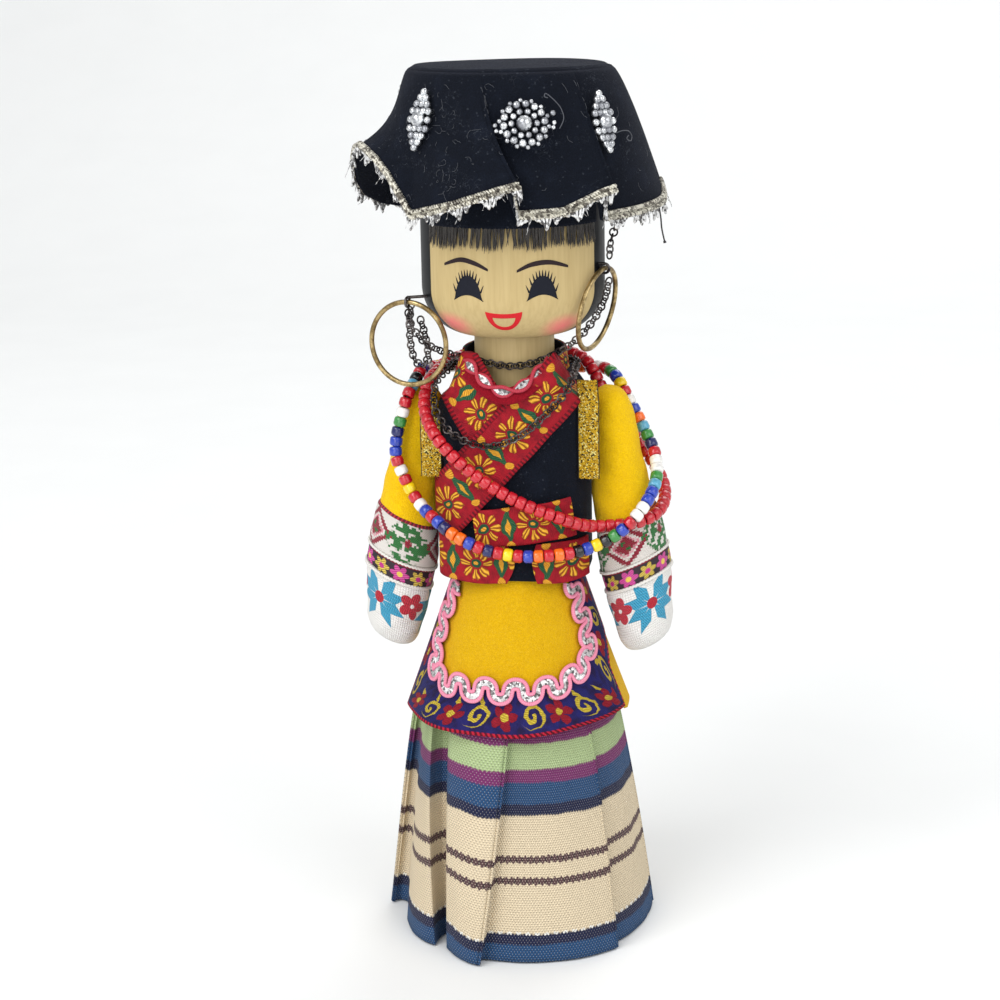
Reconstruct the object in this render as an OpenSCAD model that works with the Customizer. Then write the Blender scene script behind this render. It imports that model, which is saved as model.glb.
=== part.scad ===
// Wooden folk doll in festival dress: a turned wooden body with a turning head, cloth dress,
// stuffed swinging arms, a draped velvet hat, hoop earrings, chains and two strands of glass beads.
// Millimetres. The doll stands on z = 0 and faces -Y, with +X to the right of someone facing it.

/* [Wooden body] */
// Radius of the round foot under the skirt
foot_r = 25; // [22:0.5:25.5]
// Thickness of the foot
foot_h = 5; // [4:0.5:8]
// Radius of the body cone where it stands on the foot
cone_r = 22; // [18:0.5:22.5]
// Radius of the body at the waist
waist_r = 13.5; // [11:0.25:13.75]
// Height of the waist above the floor
waist_z = 98; // [94:0.5:101]
// Radius of the body at the chest
chest_r = 15; // [12:0.25:15.2]
// Height of the shoulders above the floor
shoulder_z = 143; // [141:0.5:144]
// Radius of the neck
neck_r = 10.4; // [8.5:0.1:10.8]
// Radius of the tenon that the head turns on
tenon_r = 5; // [4:0.25:7]
// Length of the tenon above the neck
tenon_l = 20; // [14:1:30]

/* [Head] */
// Radius of the head
head_r = 23.7; // [22.5:0.1:24]
// Height of the head from chin to crown
head_h = 65; // [60:0.5:70]
// Height of the chin above the floor
chin_z = 161.4; // [160.5:0.1:163]
// Radius of the rounded jaw
jaw_r = 12.6; // [11:0.1:13]

/* [Arms] */
// Length of an arm from its pivot to the tip of the hand
arm_l = 64; // [58:0.5:70]
// Outward lean of the arms in degrees
arm_tilt = 9; // [7:0.5:11]
// Radius of the stuffed upper sleeve
upper_r = 6.6; // [5.6:0.1:6.8]
// Radius of the forearm at its widest
forearm_r = 9.0; // [8:0.1:9.4]
// Radius of the dowel that the arms swing on
dowel_r = 2; // [1.5:0.1:2.4]
// Radius of the wooden arm core
core_r = 3.6; // [3.2:0.1:4]
// Slant of the cuff bands in degrees
cuff_slant = 16; // [8:1:20]
// How far the cuffs stand proud of the sleeve
cuff_lift = 0.4; // [0.2:0.1:0.6]

/* [Vest] */
// Half width of the vest
vest_w = 19.4; // [18.6:0.1:19.6]
// Half depth of the vest, front to back
vest_d = 17.4; // [16.8:0.1:18]
// Corner radius of the vest seen from above
vest_corner = 12.5; // [10:0.25:14]
// Thickness of the velvet
velvet_t = 1; // [0.7:0.1:1.2]
// Thickness of the woven ribbons
ribbon_t = 0.6; // [0.4:0.1:0.7]
// Radius of the armholes
armhole_r = 9; // [8:0.25:9.5]

/* [Tunic] */
// Radius of the tunic at its hem
tunic_hem_r = 29.5; // [28.5:0.25:32]
// Height of the tunic hem above the floor
tunic_hem_z = 60.5; // [56:0.5:64]
// Thickness of the felt
felt_t = 0.8; // [0.5:0.1:0.9]
// Left edge of the front panel, degrees round from the front
apron_left = -80; // [-86:1:-72]
// Right edge of the front panel, degrees round from the front
apron_right = 66; // [58:1:72]

/* [Skirt] */
// Mean radius of the skirt at its hem
skirt_hem_r = 35; // [34:0.25:37]
// Depth of the pleats, as a share of their drawn depth
pleat_depth = 1; // [0.6:0.05:1.1]
// Thickness of the skirt cloth
skirt_t = 0.9; // [0.7:0.1:1.1]
// Gap between the skirt hem and the floor
hem_gap = 0.5; // [0.3:0.1:2]

/* [Hat] */
// Height of the hat top above the crown of the head
hat_rise = 1.9; // [1.5:0.1:3]
// Radius of the hat brim, mean of its folds
brim_r = 37.5; // [35:0.25:40]
// Height of the hem of the hat above the chin, mean of its folds
brim_h = 35.5; // [34:0.5:38]
// Thickness of the hat cloth
hat_t = 1; // [0.8:0.1:1.2]
// Length of the hair fringe below the hat band
fringe_l = 13.5; // [12:0.5:16]

/* [Jewellery] */
// Radius of a glass bead
bead_r = 1.7; // [1.4:0.05:1.75]
// Length of a glass bead along its thread
bead_l = 2.15; // [1.9:0.05:2.2]
// Radius of the hole in a bead
bead_hole_r = 0.75; // [0.7:0.05:0.8]
// Radius of the bead thread
thread_r = 0.3; // [0.2:0.05:0.35]
// Radius of a chain link to the middle of its wire
link_r = 1; // [0.95:0.01:1.05]
// Radius of the chain wire
link_wire_r = 0.22; // [0.16:0.01:0.24]
// Radius of a hoop to the middle of its wire
hoop_r = 10.7; // [9.5:0.1:11]
// Radius of the hoop wire
hoop_wire_r = 0.65; // [0.5:0.05:0.7]

/* [Hidden] */
$fn = 96;

// Clearances
glue_gap = 0.05;
run_gap = 0.06;
layer_gap = 0.1;
cloth_gap = 0.2;
seat_gap = 0.1;
far = 80;

// Heights that follow from the driving sizes
crown_z = chin_z + head_h;
hat_top_z = crown_z + hat_rise;
vest_z = waist_z + 0.5;
vest_top_z = shoulder_z + 7.5;
pivot_z = shoulder_z - 3;
pivot_x = vest_w + 5.6;
neck_hole_r = neck_r + 2.4;

// A point at an angle round from the front, towards +X
function around(angle, r, z) = [r * sin(angle), -r * cos(angle), z];
function unit(v) = v / norm(v);
function mix(a, b, t) = a + (b - a) * t;

// Smooth curve through points, with a given number of steps between neighbours
function knot(p, i, closed) = closed ? p[(i + len(p)) % len(p)] : p[max(0, min(len(p) - 1, i))];
function smooth_at(a, b, c, d, t) =
    0.5 * (2 * b + (c - a) * t + (2 * a - 5 * b + 4 * c - d) * t * t + (3 * b - a - 3 * c + d) * t * t * t);
function smooth(p, steps, closed) = [
    for (i = [0 : len(p) - (closed ? 1 : 2)])
        for (k = [0 : steps - 1])
            smooth_at(knot(p, i - 1, closed), knot(p, i, closed), knot(p, i + 1, closed),
                knot(p, i + 2, closed), k / steps),
    closed ? p[0] : p[len(p) - 1]
];

// Distance along a curve at each of its points, and the point at a given distance
function distances(c) = [
    for (i = 0, d = 0; i < len(c); d = d + (i + 1 < len(c) ? norm(c[i + 1] - c[i]) : 0), i = i + 1) [d, i]
];
function at_index(c, f) = mix(c[floor(f)], c[min(ceil(f), len(c) - 1)], f - floor(f));
function at_distance(c, table, d) = at_index(c, lookup(d, table));

// Tube of round section along a curve of points
function sides_along(c, closed) = [
    for (i = [0 : len(c) - 1])
        unit(closed
            ? c[(i + 1) % len(c)] - c[(i + len(c) - 1) % len(c)]
            : c[min(i + 1, len(c) - 1)] - c[max(i - 1, 0)])
];
function square_to(v, t) = unit(v - (v * t) * t);
function carried(t) = [
    for (i = 0, n = square_to(abs(t[0].z) < 0.9 ? [0, 0, 1] : [1, 0, 0], t[0]);
         i < len(t);
         i = i + 1, n = i < len(t) ? square_to(n, t[i]) : n) n
];
module tube(c, r, sides, closed) {
    t = sides_along(c, closed);
    n = carried(t);
    rings = len(c);
    points = [
        for (i = [0 : rings - 1])
            for (k = [0 : sides - 1])
                c[i] + r * (cos(360 * k / sides) * n[i] + sin(360 * k / sides) * cross(t[i], n[i]))
    ];
    last = closed ? rings - 1 : rings - 2;
    walls = [
        for (i = [0 : last])
            for (k = [0 : sides - 1])
                let (a = i * sides + k, b = i * sides + (k + 1) % sides,
                     e = ((i + 1) % rings) * sides + k, f = ((i + 1) % rings) * sides + (k + 1) % sides)
                each [[a, e, f], [a, f, b]]
    ];
    caps = closed ? [] : [
        for (k = [1 : sides - 2]) [0, k, k + 1],
        for (k = [1 : sides - 2]) let (e = (rings - 1) * sides) [e, e + k + 1, e + k]
    ];
    polyhedron(points, concat(walls, caps));
}

// Closed cloth wall round the doll, from a grid of outer points and a grid of inner points
module cloth_ring(outer, inner) {
    rows = len(outer);
    cols = len(outer[0]);
    in = rows * cols;
    function id(i, j) = i * cols + j % cols;
    faces = [
        for (i = [0 : rows - 2])
            for (j = [0 : cols - 1])
                each [
                    [id(i, j), id(i, j + 1), id(i + 1, j + 1)],
                    [id(i, j), id(i + 1, j + 1), id(i + 1, j)],
                    [in + id(i, j), in + id(i + 1, j + 1), in + id(i, j + 1)],
                    [in + id(i, j), in + id(i + 1, j), in + id(i + 1, j + 1)]
                ],
        for (j = [0 : cols - 1])
            each [
                [in + id(0, j), in + id(0, j + 1), id(0, j + 1)],
                [in + id(0, j), id(0, j + 1), id(0, j)],
                [in + id(rows - 1, j), id(rows - 1, j + 1), in + id(rows - 1, j + 1)],
                [in + id(rows - 1, j), id(rows - 1, j), id(rows - 1, j + 1)]
            ]
    ];
    polyhedron(concat([for (row = outer) each row], [for (row = inner) each row]), faces);
}

// Turned section, swept from one angle to another
module turned(from = 0, to = 360) {
    rotate([0, 0, from - 90])
        rotate_extrude(angle = to - from)
            children();
}

// Outline drawn in front view, x and z, carried through the doll from y = start to y = end
module front_view(start, end) {
    translate([0, end, 0])
        rotate([90, 0, 0])
            linear_extrude(end - start)
                children();
}

// Tenon under the body that is glued into the foot
foot_tenon_r = 6;
foot_floor = 1.5;

module foot() {
    chamfer = 1;
    color("burlywood")
        rotate_extrude()
            polygon([
                [0, 0], [foot_r - chamfer, 0], [foot_r, chamfer], [foot_r, foot_h],
                [foot_tenon_r + glue_gap, foot_h], [foot_tenon_r + glue_gap, foot_floor], [0, foot_floor]
            ]);
}

tenon_top_z = chin_z + tenon_l;

module body_peg() {
    neck_root_z = shoulder_z + 5.5;
    color("wheat")
        difference() {
            rotate_extrude()
                polygon([
                    [0, foot_floor + glue_gap], [foot_tenon_r, foot_floor + glue_gap], [foot_tenon_r, foot_h],
                    [cone_r, foot_h], [waist_r, waist_z], [waist_r, waist_z + 6],
                    [chest_r, shoulder_z - 18], [chest_r, shoulder_z - 1], [chest_r - 1, shoulder_z],
                    [neck_r, neck_root_z], [neck_r, chin_z - seat_gap], [tenon_r, chin_z - seat_gap],
                    [tenon_r, tenon_top_z - 1], [tenon_r - 1, tenon_top_z], [0, tenon_top_z]
                ]);
            translate([0, 0, pivot_z])
                rotate([0, 90, 0])
                    cylinder(r = dowel_r + glue_gap, h = far, center = true);
        }
}

module shoulder_dowel() {
    reach = pivot_x + core_r - 0.6;
    color("tan")
        translate([-reach, 0, pivot_z])
            rotate([0, 90, 0])
                cylinder(r = dowel_r, h = 2 * reach);
}

// Skirt: radius of its outer face from the waist to the hem
skirt_top_z = waist_z - 6;
skirt_hip_z = tunic_hem_z;
waist_tape_r = 15.4;
skirt_top_r = waist_tape_r + cloth_gap + skirt_t;
peg_at_tape_r = mix(waist_r, cone_r, (waist_z - skirt_top_z + 3) / (waist_z - foot_h));
// Folds at the hem: degrees round from the front, and how far out of the mean radius
skirt_folds = [
    [-100, -4], [-92, -1.8], [-86, -1.2], [-82.5, -5.2], [-77, -5.4], [-66, -3.6], [-55, -1.4], [-51, -1.6],
    [-48, -7.8], [-39, -7.6], [-26, -1.4], [-14, 3.8], [-8.5, 5.6], [-6, 1.6], [0, 1.6], [15, 2.6], [34, 3],
    [46, 3.4], [49.5, 3.2], [52.5, 0.2], [66, 0.2], [84, -0.2], [96, 0.8], [100.5, 1], [104, -2.2],
    [124, -1.6], [143, 0.8], [148, 1], [151.5, -2], [172, -1.4], [193, 1], [198, 1.2], [201.5, -2],
    [222, -1.6], [241, 0.4], [246, 0.4], [249.5, -3.2], [260, -4]
];
// Widest step round the skirt between two folds, in degrees
fold_step = 7;
skirt_angles = [
    for (i = [0 : len(skirt_folds) - 2])
        let (a = skirt_folds[i][0], b = skirt_folds[i + 1][0], n = ceil((b - a) / fold_step))
        for (k = [0 : n - 1]) mix(a, b, k / n)
];
skirt_rows = [0, 0.28, 0.46, 0.6, 0.73, 0.87, 1];
skirt_hip_r = 25.4;
// Share of a fold that is left at the hip
hip_fold = 0.38;
function skirt_fold(angle) = pleat_depth * lookup(angle, skirt_folds);
function skirt_r(angle, z) =
    let (hip_r = skirt_hip_r + skirt_fold(angle) * hip_fold)
    z > skirt_hip_z
        ? mix(skirt_top_r, hip_r, (skirt_top_z - z) / (skirt_top_z - skirt_hip_z))
        : mix(hip_r, skirt_hem_r + skirt_fold(angle), (skirt_hip_z - z) / skirt_hip_z);
function skirt_grid(inset) = [
    for (row = skirt_rows)
        let (z = mix(skirt_top_z, hem_gap, row))
        [for (a = skirt_angles) around(a, skirt_r(a, z) - inset, z)]
];

module skirt() {
    color("bisque")
        cloth_ring(skirt_grid(0), skirt_grid(skirt_t));
}

module waist_tape() {
    color("ivory")
        rotate_extrude()
            polygon([
                [peg_at_tape_r + glue_gap, skirt_top_z - 3], [waist_tape_r, skirt_top_z - 3],
                [waist_tape_r, skirt_top_z], [peg_at_tape_r + glue_gap, skirt_top_z]
            ]);
}

// Tunic: straight under the vest, then a cone down to its hem
tunic_r = vest_d - velvet_t - cloth_gap;
tunic_top_z = shoulder_z - 11;
function tunic_at(z) =
    z > waist_z ? tunic_r : mix(tunic_r, tunic_hem_r, (waist_z - z) / (waist_z - tunic_hem_z));
module tunic_wall(inner, outer, bottom_z, top_z) {
    polygon([
        [tunic_at(bottom_z) + inner, bottom_z], [tunic_at(bottom_z) + outer, bottom_z],
        [tunic_r + outer, waist_z], [tunic_r + outer, top_z],
        [tunic_r + inner, top_z], [tunic_r + inner, waist_z]
    ]);
}

module tunic_front() {
    color("gold")
        turned(apron_left, apron_right)
            tunic_wall(-felt_t, 0, tunic_hem_z, tunic_top_z);
}

module tunic_back() {
    slit = 2;
    color("gold")
        turned(apron_right + slit, apron_left + 360 - slit)
            tunic_wall(-felt_t, 0, tunic_hem_z - 1, tunic_top_z);
}

// Edge of the bare front panel: degrees round from the front, and share of the way from waist to hem
panel_edge = smooth([
    [-52.7, 0.06], [-57, 0.187], [-58.5, 0.293], [-57, 0.41], [-55, 0.515], [-53, 0.613], [-48, 0.67],
    [-38, 0.704], [-24, 0.707], [-9, 0.707], [5, 0.707], [19, 0.705], [31, 0.683], [41.5, 0.635],
    [51.5, 0.57], [57.5, 0.496], [59.5, 0.4], [59.5, 0.293], [58.5, 0.173]
], 2, false);
function panel_z(p) = mix(waist_z, tunic_hem_z, p.y);
function panel_x(p) = (tunic_at(panel_z(p)) + layer_gap) * sin(p.x);

module panel_opening() {
    polygon(concat(
        [[panel_x(panel_edge[0]), far]],
        [for (p = panel_edge) [panel_x(p), panel_z(p)]],
        [[panel_x(panel_edge[len(panel_edge) - 1]), far]]
    ));
}

border_top_z = waist_z + 4;

module apron_border() {
    color("darkblue")
        difference() {
            turned(apron_left, apron_right)
                tunic_wall(layer_gap, layer_gap + ribbon_t, tunic_hem_z - 0.4, border_top_z);
            front_view(-far, 0)
                panel_opening();
            translate([0, 0, vest_z - layer_gap])
                cylinder(r = far, h = far);
        }
}

// Wavy braid along the edge of the bare panel
ricrac_r = 0.6;
ricrac_wave = 1.3;
ricrac_count = 15;
ricrac_steps = 7;
// The panel's edge unrolled flat at a mean radius
ricrac_mean_r = 22;
ricrac_degree = PI * ricrac_mean_r / 180;
ricrac_curve = [for (p = panel_edge) [p.x * ricrac_degree, panel_z(p)]];
ricrac_table = distances(ricrac_curve);
ricrac_l = ricrac_table[len(ricrac_table) - 1][0];
function ricrac_point(s) =
    let (p = at_distance(ricrac_curve, ricrac_table, s * ricrac_l),
         q = at_distance(ricrac_curve, ricrac_table, min(s + 0.01, 1) * ricrac_l),
         o = at_distance(ricrac_curve, ricrac_table, max(s - 0.01, 0) * ricrac_l),
         t = unit(q - o),
         w = p + ricrac_wave * sin(360 * ricrac_count * s) * [-t.y, t.x])
    around(w.x / ricrac_degree, tunic_at(w.y) + (ribbon_t + ricrac_r) * 1.12 + 2 * layer_gap, w.y);

module apron_ricrac() {
    steps = ricrac_count * ricrac_steps;
    color("hotpink")
        tube([for (i = [0 : steps]) ricrac_point(i / steps)], ricrac_r, 6, false);
}

// Vest: rounded block seen from above, with sloping shoulders seen from the front
module vest_plan(grow) {
    c = vest_corner + grow;
    x = vest_w - vest_corner;
    y = vest_d - vest_corner;
    square([2 * x, 2 * (y + c)], center = true);
    square([2 * (x + c), 2 * y], center = true);
    for (sx = [-1, 1])
        for (sy = [-1, 1])
            translate([sx * x, sy * y])
                circle(c);
}

module shoulder_outline(grow, bottom_z) {
    top_x = neck_hole_r - 0.4;
    polygon([
        [-far, bottom_z], [far, bottom_z], [far, shoulder_z + 0.5 + grow], [vest_w, shoulder_z + 0.5 + grow],
        [top_x, vest_top_z + grow], [-top_x, vest_top_z + grow], [-vest_w, shoulder_z + 0.5 + grow],
        [-far, shoulder_z + 0.5 + grow]
    ]);
}

module vest_block(grow, bottom_z) {
    intersection() {
        translate([0, 0, bottom_z])
            linear_extrude(far)
                vest_plan(grow);
        front_view(-far, far)
            shoulder_outline(grow, bottom_z);
    }
}

module vest_skin(inner, outer, bottom_z) {
    difference() {
        vest_block(outer, bottom_z);
        vest_block(inner, bottom_z - 1);
        translate([0, 0, vest_z])
            cylinder(r = neck_hole_r, h = far);
    }
}

// Open neckline in front view
module neckline() {
    polygon([
        [-11, vest_top_z + 4], [-4.4, vest_top_z - 3], [-1.2, shoulder_z + 1], [2.3, shoulder_z + 2.4],
        [8.4, vest_top_z + 0.5], [10, vest_top_z + 4]
    ]);
}

module armholes() {
    for (s = [0, 180])
        rotate([0, 0, s])
            translate([vest_w - 3.9, 0, pivot_z - 2])
                rotate([0, 90, 0])
                    cylinder(r = armhole_r, h = far);
}

module vest() {
    color("black")
        difference() {
            vest_skin(-velvet_t, 0, vest_z);
            armholes();
            front_view(-far, 0)
                neckline();
        }
}

// Ribbons sewn on the vest, cut from two layers of its skin
layer_one = layer_gap;
layer_two = 2 * layer_gap + ribbon_t;
ribbons_out = layer_two + ribbon_t;

module ribbon(layer) {
    color("firebrick")
        intersection() {
            difference() {
                vest_skin(layer, layer + ribbon_t, vest_z - 0.3);
                armholes();
                front_view(-far, 0)
                    neckline();
            }
            front_view(-far, 1)
                children();
        }
}

module lapel_under() {
    ribbon(layer_one)
        polygon([
            [-19.5, shoulder_z + 9], [-6, shoulder_z + 9], [-1, shoulder_z], [-5, shoulder_z - 9],
            [-11.5, shoulder_z - 8], [-16, shoulder_z - 3], [-19.5, shoulder_z]
        ]);
}

module lapel_over() {
    ribbon(layer_two)
        polygon([
            [6, shoulder_z + 9], [-20.2, waist_z + 26.4], [-20.2, waist_z + 4], [-18, waist_z + 4],
            [-13.5, waist_z + 11], [15.8, shoulder_z - 2], [19, shoulder_z + 2], [19, shoulder_z + 9]
        ]);
}

module front_tab() {
    ribbon(layer_two)
        difference() {
            polygon([
                [-9, waist_z + 9], [-6.2, waist_z + 19.3], [4, waist_z + 22], [14.5, waist_z + 22.4],
                [16.8, waist_z + 20], [16.8, waist_z + 13.5], [6, waist_z + 12], [5.6, waist_z + 10.5]
            ]);
            polygon([[-13.6, waist_z + 10.5], [-13.6, shoulder_z], [15.8, shoulder_z - 2.5]]);
        }
}

module hem_ribbon_left() {
    ribbon(layer_one)
        polygon([
            [-20, 0], [1, 0], [1.8, waist_z + 3], [-0.7, waist_z + 6.5],
            [-9, waist_z + 11], [-20, waist_z + 11]
        ]);
}

module hem_ribbon_right() {
    ribbon(layer_one)
        polygon([[6, waist_z + 11], [6.6, 0], [20, 0], [20, waist_z + 11]]);
}

module armhole_trim(side, top_z) {
    bottom_z = pivot_z - 15;
    reach = vest_w - 3.6;
    back_y = -6.4;
    color("goldenrod")
        intersection() {
            vest_skin(layer_one, layer_one + ribbon_t, vest_z);
            translate([side > 0 ? reach : -reach - far, back_y - far, bottom_z])
                cube([far, far, top_z - bottom_z]);
        }
}

// On the -X side the trim ends under the lapel
module armhole_trim_left() {
    armhole_trim(-1, shoulder_z - 4.5);
}

module armhole_trim_right() {
    armhole_trim(1, vest_top_z);
}

// Ribbon standing round the back of the neck
collar_top_z = chin_z - 7.4;

module collar() {
    color("firebrick")
        turned(58, 298)
            translate([neck_hole_r + 0.4, vest_top_z + ribbons_out + layer_gap])
                square([1, collar_top_z - vest_top_z - ribbons_out - layer_gap]);
}

// Braid along the neckline
neck_braid_r = 0.7;
neck_braid_route = [
    [-11.5, -11.4, vest_top_z + 3], [-8.5, -16.6, vest_top_z + 2.5], [-4.5, -19, vest_top_z - 1.5],
    [-0.5, -19.8, vest_top_z - 5], [3.5, -20, vest_top_z - 2.8], [7, -18.4, vest_top_z + 0.8],
    [10.5, -13, vest_top_z + 3.2]
];

module neck_braid() {
    color("palevioletred")
        tube(smooth(neck_braid_route, 6, false), neck_braid_r, 6, false);
}

// Chains: round links, each turned a quarter against the next
link_pitch = 1.35;
module chain(route, closed) {
    curve = smooth(route, 10, closed);
    table = distances(curve);
    length = table[len(table) - 1][0];
    count = round(length / link_pitch / 2) * 2;
    step = length / count;
    color("dimgray")
        for (i = [0 : count - 1])
            let (p = at_distance(curve, table, (i + 0.5) * step),
                 t = unit(at_distance(curve, table, min((i + 0.9) * step, length))
                     - at_distance(curve, table, max((i + 0.1) * step, 0))),
                 n = square_to(abs(t.z) < 0.95 ? [0, 0, 1] : [1, 0, 0], t),
                 s = cross(n, t))
                multmatrix([
                    [t.x, s.x, n.x, p.x], [t.y, s.y, n.y, p.y], [t.z, s.z, n.z, p.z], [0, 0, 0, 1]
                ])
                    rotate([i % 2 == 0 ? 45 : -45, 0, 0])
                        rotate_extrude($fn = 24)
                            translate([link_r, 0])
                                circle(link_wire_r, $fn = 16);
}

chest_chain_route = [
    [16.6, -6, 152.8], [16.8, -14.2, 152], [15, -18.9, 148.2], [8, -20.6, 141], [2.5, -20.6, 137],
    [-4, -20.6, 135], [-10, -20, 136], [-14.6, -18.2, 138.2], [-17.2, -17, 141], [-18.8, -15.8, 144.4],
    [-18.9, -11.8, 149.8], [-16.8, -5, 152], [-16, 3, 152.6], [-11.6, 10.6, 152.2], [0, 15.8, 152.2],
    [11.6, 10.6, 152.4], [16, 2.5, 152.8]
];

module chest_chain() {
    chain(chest_chain_route, true);
}

chin_chain_route = [
    [-25.6, -12.4, 168.4], [-24.4, -13.4, 164], [-19.5, -13.8, 159.4], [-12.5, -11.2, 156.4],
    [-5.5, -10.8, 154.8], [1.2, -12.2, 154.2], [7.5, -10.4, 155.2], [13.2, -10.8, 158],
    [17.6, -9.6, 161], [21.6, -7.8, 165.6], [24.4, -7, 170.8], [25.6, -6.8, 176]
];

module chin_chain() {
    chain(chin_chain_route, false);
}

ear_chain_left_route = [
    [-25, -10.6, 170], [-25.8, -9.4, 164.6], [-25.8, -8.8, 159], [-24.8, -8.8, 155], [-22.6, -9.8, 153.8],
    [-21, -10.8, 156], [-21.4, -11, 161], [-22.8, -11, 166.4]
];

module ear_chain_left() {
    chain(ear_chain_left_route, false);
}

ear_chain_right_route = [[25.4, -4.4, 181], [25.8, -3.4, 185.4], [27.4, -2.2, 190], [29.6, -1.2, 194.6]];

module ear_chain_right() {
    chain(ear_chain_right_route, false);
}

// Bead strands: closed threads that go round the neck, over the shoulders and round the arms
red_route = [
    [-20.2, -3, 150.8], [-21.6, -7.6, 148.8], [-22.2, -10.8, 145], [-21, -15, 141], [-17.6, -20.2, 136.8],
    [-12.4, -21.8, 131.6], [-7, -21.4, 127], [-2, -21.2, 123.6], [3, -21.2, 120.8], [8, -21, 118.6],
    [13.2, -19.8, 116.4], [18, -16.8, 114], [22, -13.2, 112.6], [26.4, -11.2, 112.4], [30.6, -10.9, 112.8],
    [34.8, -9.3, 113.6], [38, -5.6, 115], [39.2, 0, 117.2], [38.2, 5.6, 120.6], [34.2, 9.4, 126.4],
    [28.4, 10.4, 134.2], [23, 10.8, 142], [20, 12.4, 147], [16.4, 15.6, 151.4], [9, 19, 152.8],
    [0, 19.4, 152.4], [-8, 18.6, 152.4], [-14, 15.2, 152.4], [-19, 6, 151.8]
];
mixed_route = [
    [-25.4, -1.6, 149.6], [-27.2, -7, 145.4], [-28.8, -8.2, 140], [-30.2, -8.6, 134.6], [-30.4, -9.2, 129.4],
    [-28.4, -10.2, 124.6], [-26.2, -10.9, 120.4], [-23.2, -12.8, 116.8], [-18.9, -16.6, 114.2],
    [-14.6, -19.4, 111.6], [-9.8, -20.9, 109.4], [-5, -21.1, 107.6], [0, -21.1, 106.6], [4.4, -21.1, 106.2],
    [9.8, -20.8, 106.4], [15, -19.2, 106.6], [20, -16.4, 107.2], [24.4, -14.8, 108.8], [28, -14.7, 111],
    [31.4, -14.2, 114], [34.4, -11.8, 117.4], [36.6, -7.8, 121], [37.4, -3, 124.6], [36.4, 1.6, 129],
    [34, 4.6, 133.4], [31.4, 6.6, 138], [28.8, 8, 142.4], [26.6, 10, 146], [24.4, 12.8, 148],
    [21.2, 16.2, 148.8], [16.5, 19, 148.4], [9, 20.6, 148.2], [0, 20.8, 148], [-9, 20.4, 148.2],
    [-16.5, 16.6, 148.8], [-21.6, 9.6, 150], [-24.6, 3, 150.6]
];
route_steps = 3;
bead_pitch = 2.62;
red_curve = smooth(red_route, route_steps, true);
mixed_curve = smooth(mixed_route, route_steps, true);
// Order of the colours along the mixed strand, starting over the shoulder on the -X side
bead_order = "KLRRWGNBBRWRYRWBRBNOOBRNRYRBORORKBYKGBRWWBBLGWWRNGLOBWRYBGRWNOLRB";

module bead() {
    round_r = 0.7;
    rotate_extrude($fn = 32)
        translate([bead_hole_r, 0]) {
            w = bead_r - bead_hole_r;
            translate([0, -bead_l / 2])
                square([w - round_r, bead_l]);
            translate([0, -bead_l / 2 + round_r])
                square([w, bead_l - 2 * round_r]);
            for (s = [-1, 1])
                translate([w - round_r, s * (bead_l / 2 - round_r)])
                    circle(round_r, $fn = 24);
        }
}

module beads(curve, order, letter) {
    table = distances(curve);
    length = table[len(table) - 1][0];
    count = floor(length / bead_pitch);
    step = length / count;
    for (i = [0 : count - 1])
        if (order[i % len(order)] == letter)
            let (p = at_distance(curve, table, (i + 0.5) * step),
                 t = unit(at_distance(curve, table, (i + 0.8) * step)
                     - at_distance(curve, table, (i + 0.2) * step)))
                translate(p)
                    rotate([0, acos(t.z), atan2(t.y, t.x)])
                        bead();
}

module strand_thread(curve) {
    tube([for (i = [0 : len(curve) - 2]) curve[i]], thread_r, 6, true);
}

module red_thread() {
    color("maroon")
        strand_thread(red_curve);
}

module mixed_thread() {
    color("dimgray")
        strand_thread(mixed_curve);
}

module red_strand_beads() {
    color("crimson")
        beads(red_curve, "R", "R");
}

module mixed_beads_red() {
    color("firebrick")
        beads(mixed_curve, bead_order, "R");
}

module mixed_beads_blue() {
    color("royalblue")
        beads(mixed_curve, bead_order, "B");
}

module mixed_beads_navy() {
    color("navy")
        beads(mixed_curve, bead_order, "N");
}

module mixed_beads_white() {
    color("white")
        beads(mixed_curve, bead_order, "W");
}

module mixed_beads_yellow() {
    color("gold")
        beads(mixed_curve, bead_order, "Y");
}

module mixed_beads_orange() {
    color("darkorange")
        beads(mixed_curve, bead_order, "O");
}

module mixed_beads_green() {
    color("yellowgreen")
        beads(mixed_curve, bead_order, "G");
}

module mixed_beads_black() {
    color("black")
        beads(mixed_curve, bead_order, "K");
}

module mixed_beads_light_blue() {
    color("skyblue")
        beads(mixed_curve, bead_order, "L");
}

// Head: straight-sided block with a rounded jaw, bored for the tenon
module head() {
    jaw_x = head_r - jaw_r;
    crown_round = 2;
    color("wheat")
        difference() {
            rotate_extrude() {
                intersection() {
                    translate([jaw_x, chin_z + jaw_r])
                        circle(jaw_r);
                    translate([0, chin_z])
                        square([head_r, head_h]);
                }
                translate([0, chin_z])
                    square([jaw_x, head_h]);
                translate([0, chin_z + jaw_r])
                    square([head_r, head_h - jaw_r - crown_round]);
                translate([head_r - crown_round, crown_z - crown_round])
                    circle(crown_round);
                translate([0, crown_z - crown_round - 1])
                    square([head_r - crown_round, crown_round + 1]);
            }
            translate([0, 0, chin_z - 1])
                cylinder(r = tenon_r + run_gap, h = tenon_l + 2);
            for (pin = [ear_left, ear_right])
                ear_bore(pin, pin_r + glue_gap);
        }
}

// Ears: a pin in the side of the head, with an eye that holds a hoop
pin_r = 0.4;
pin_depth = 5;
eye_r = 1.2;
eye_wire_r = 0.35;
// Degrees round from the front, distance out from the head, and height over the chin
ear_left = [-63.5, 4.9, 9.3];
ear_right = [75.5, 1.5, 17.2];
function ear_point(pin) = around(pin[0], head_r + pin[1], chin_z + pin[2]);

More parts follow.
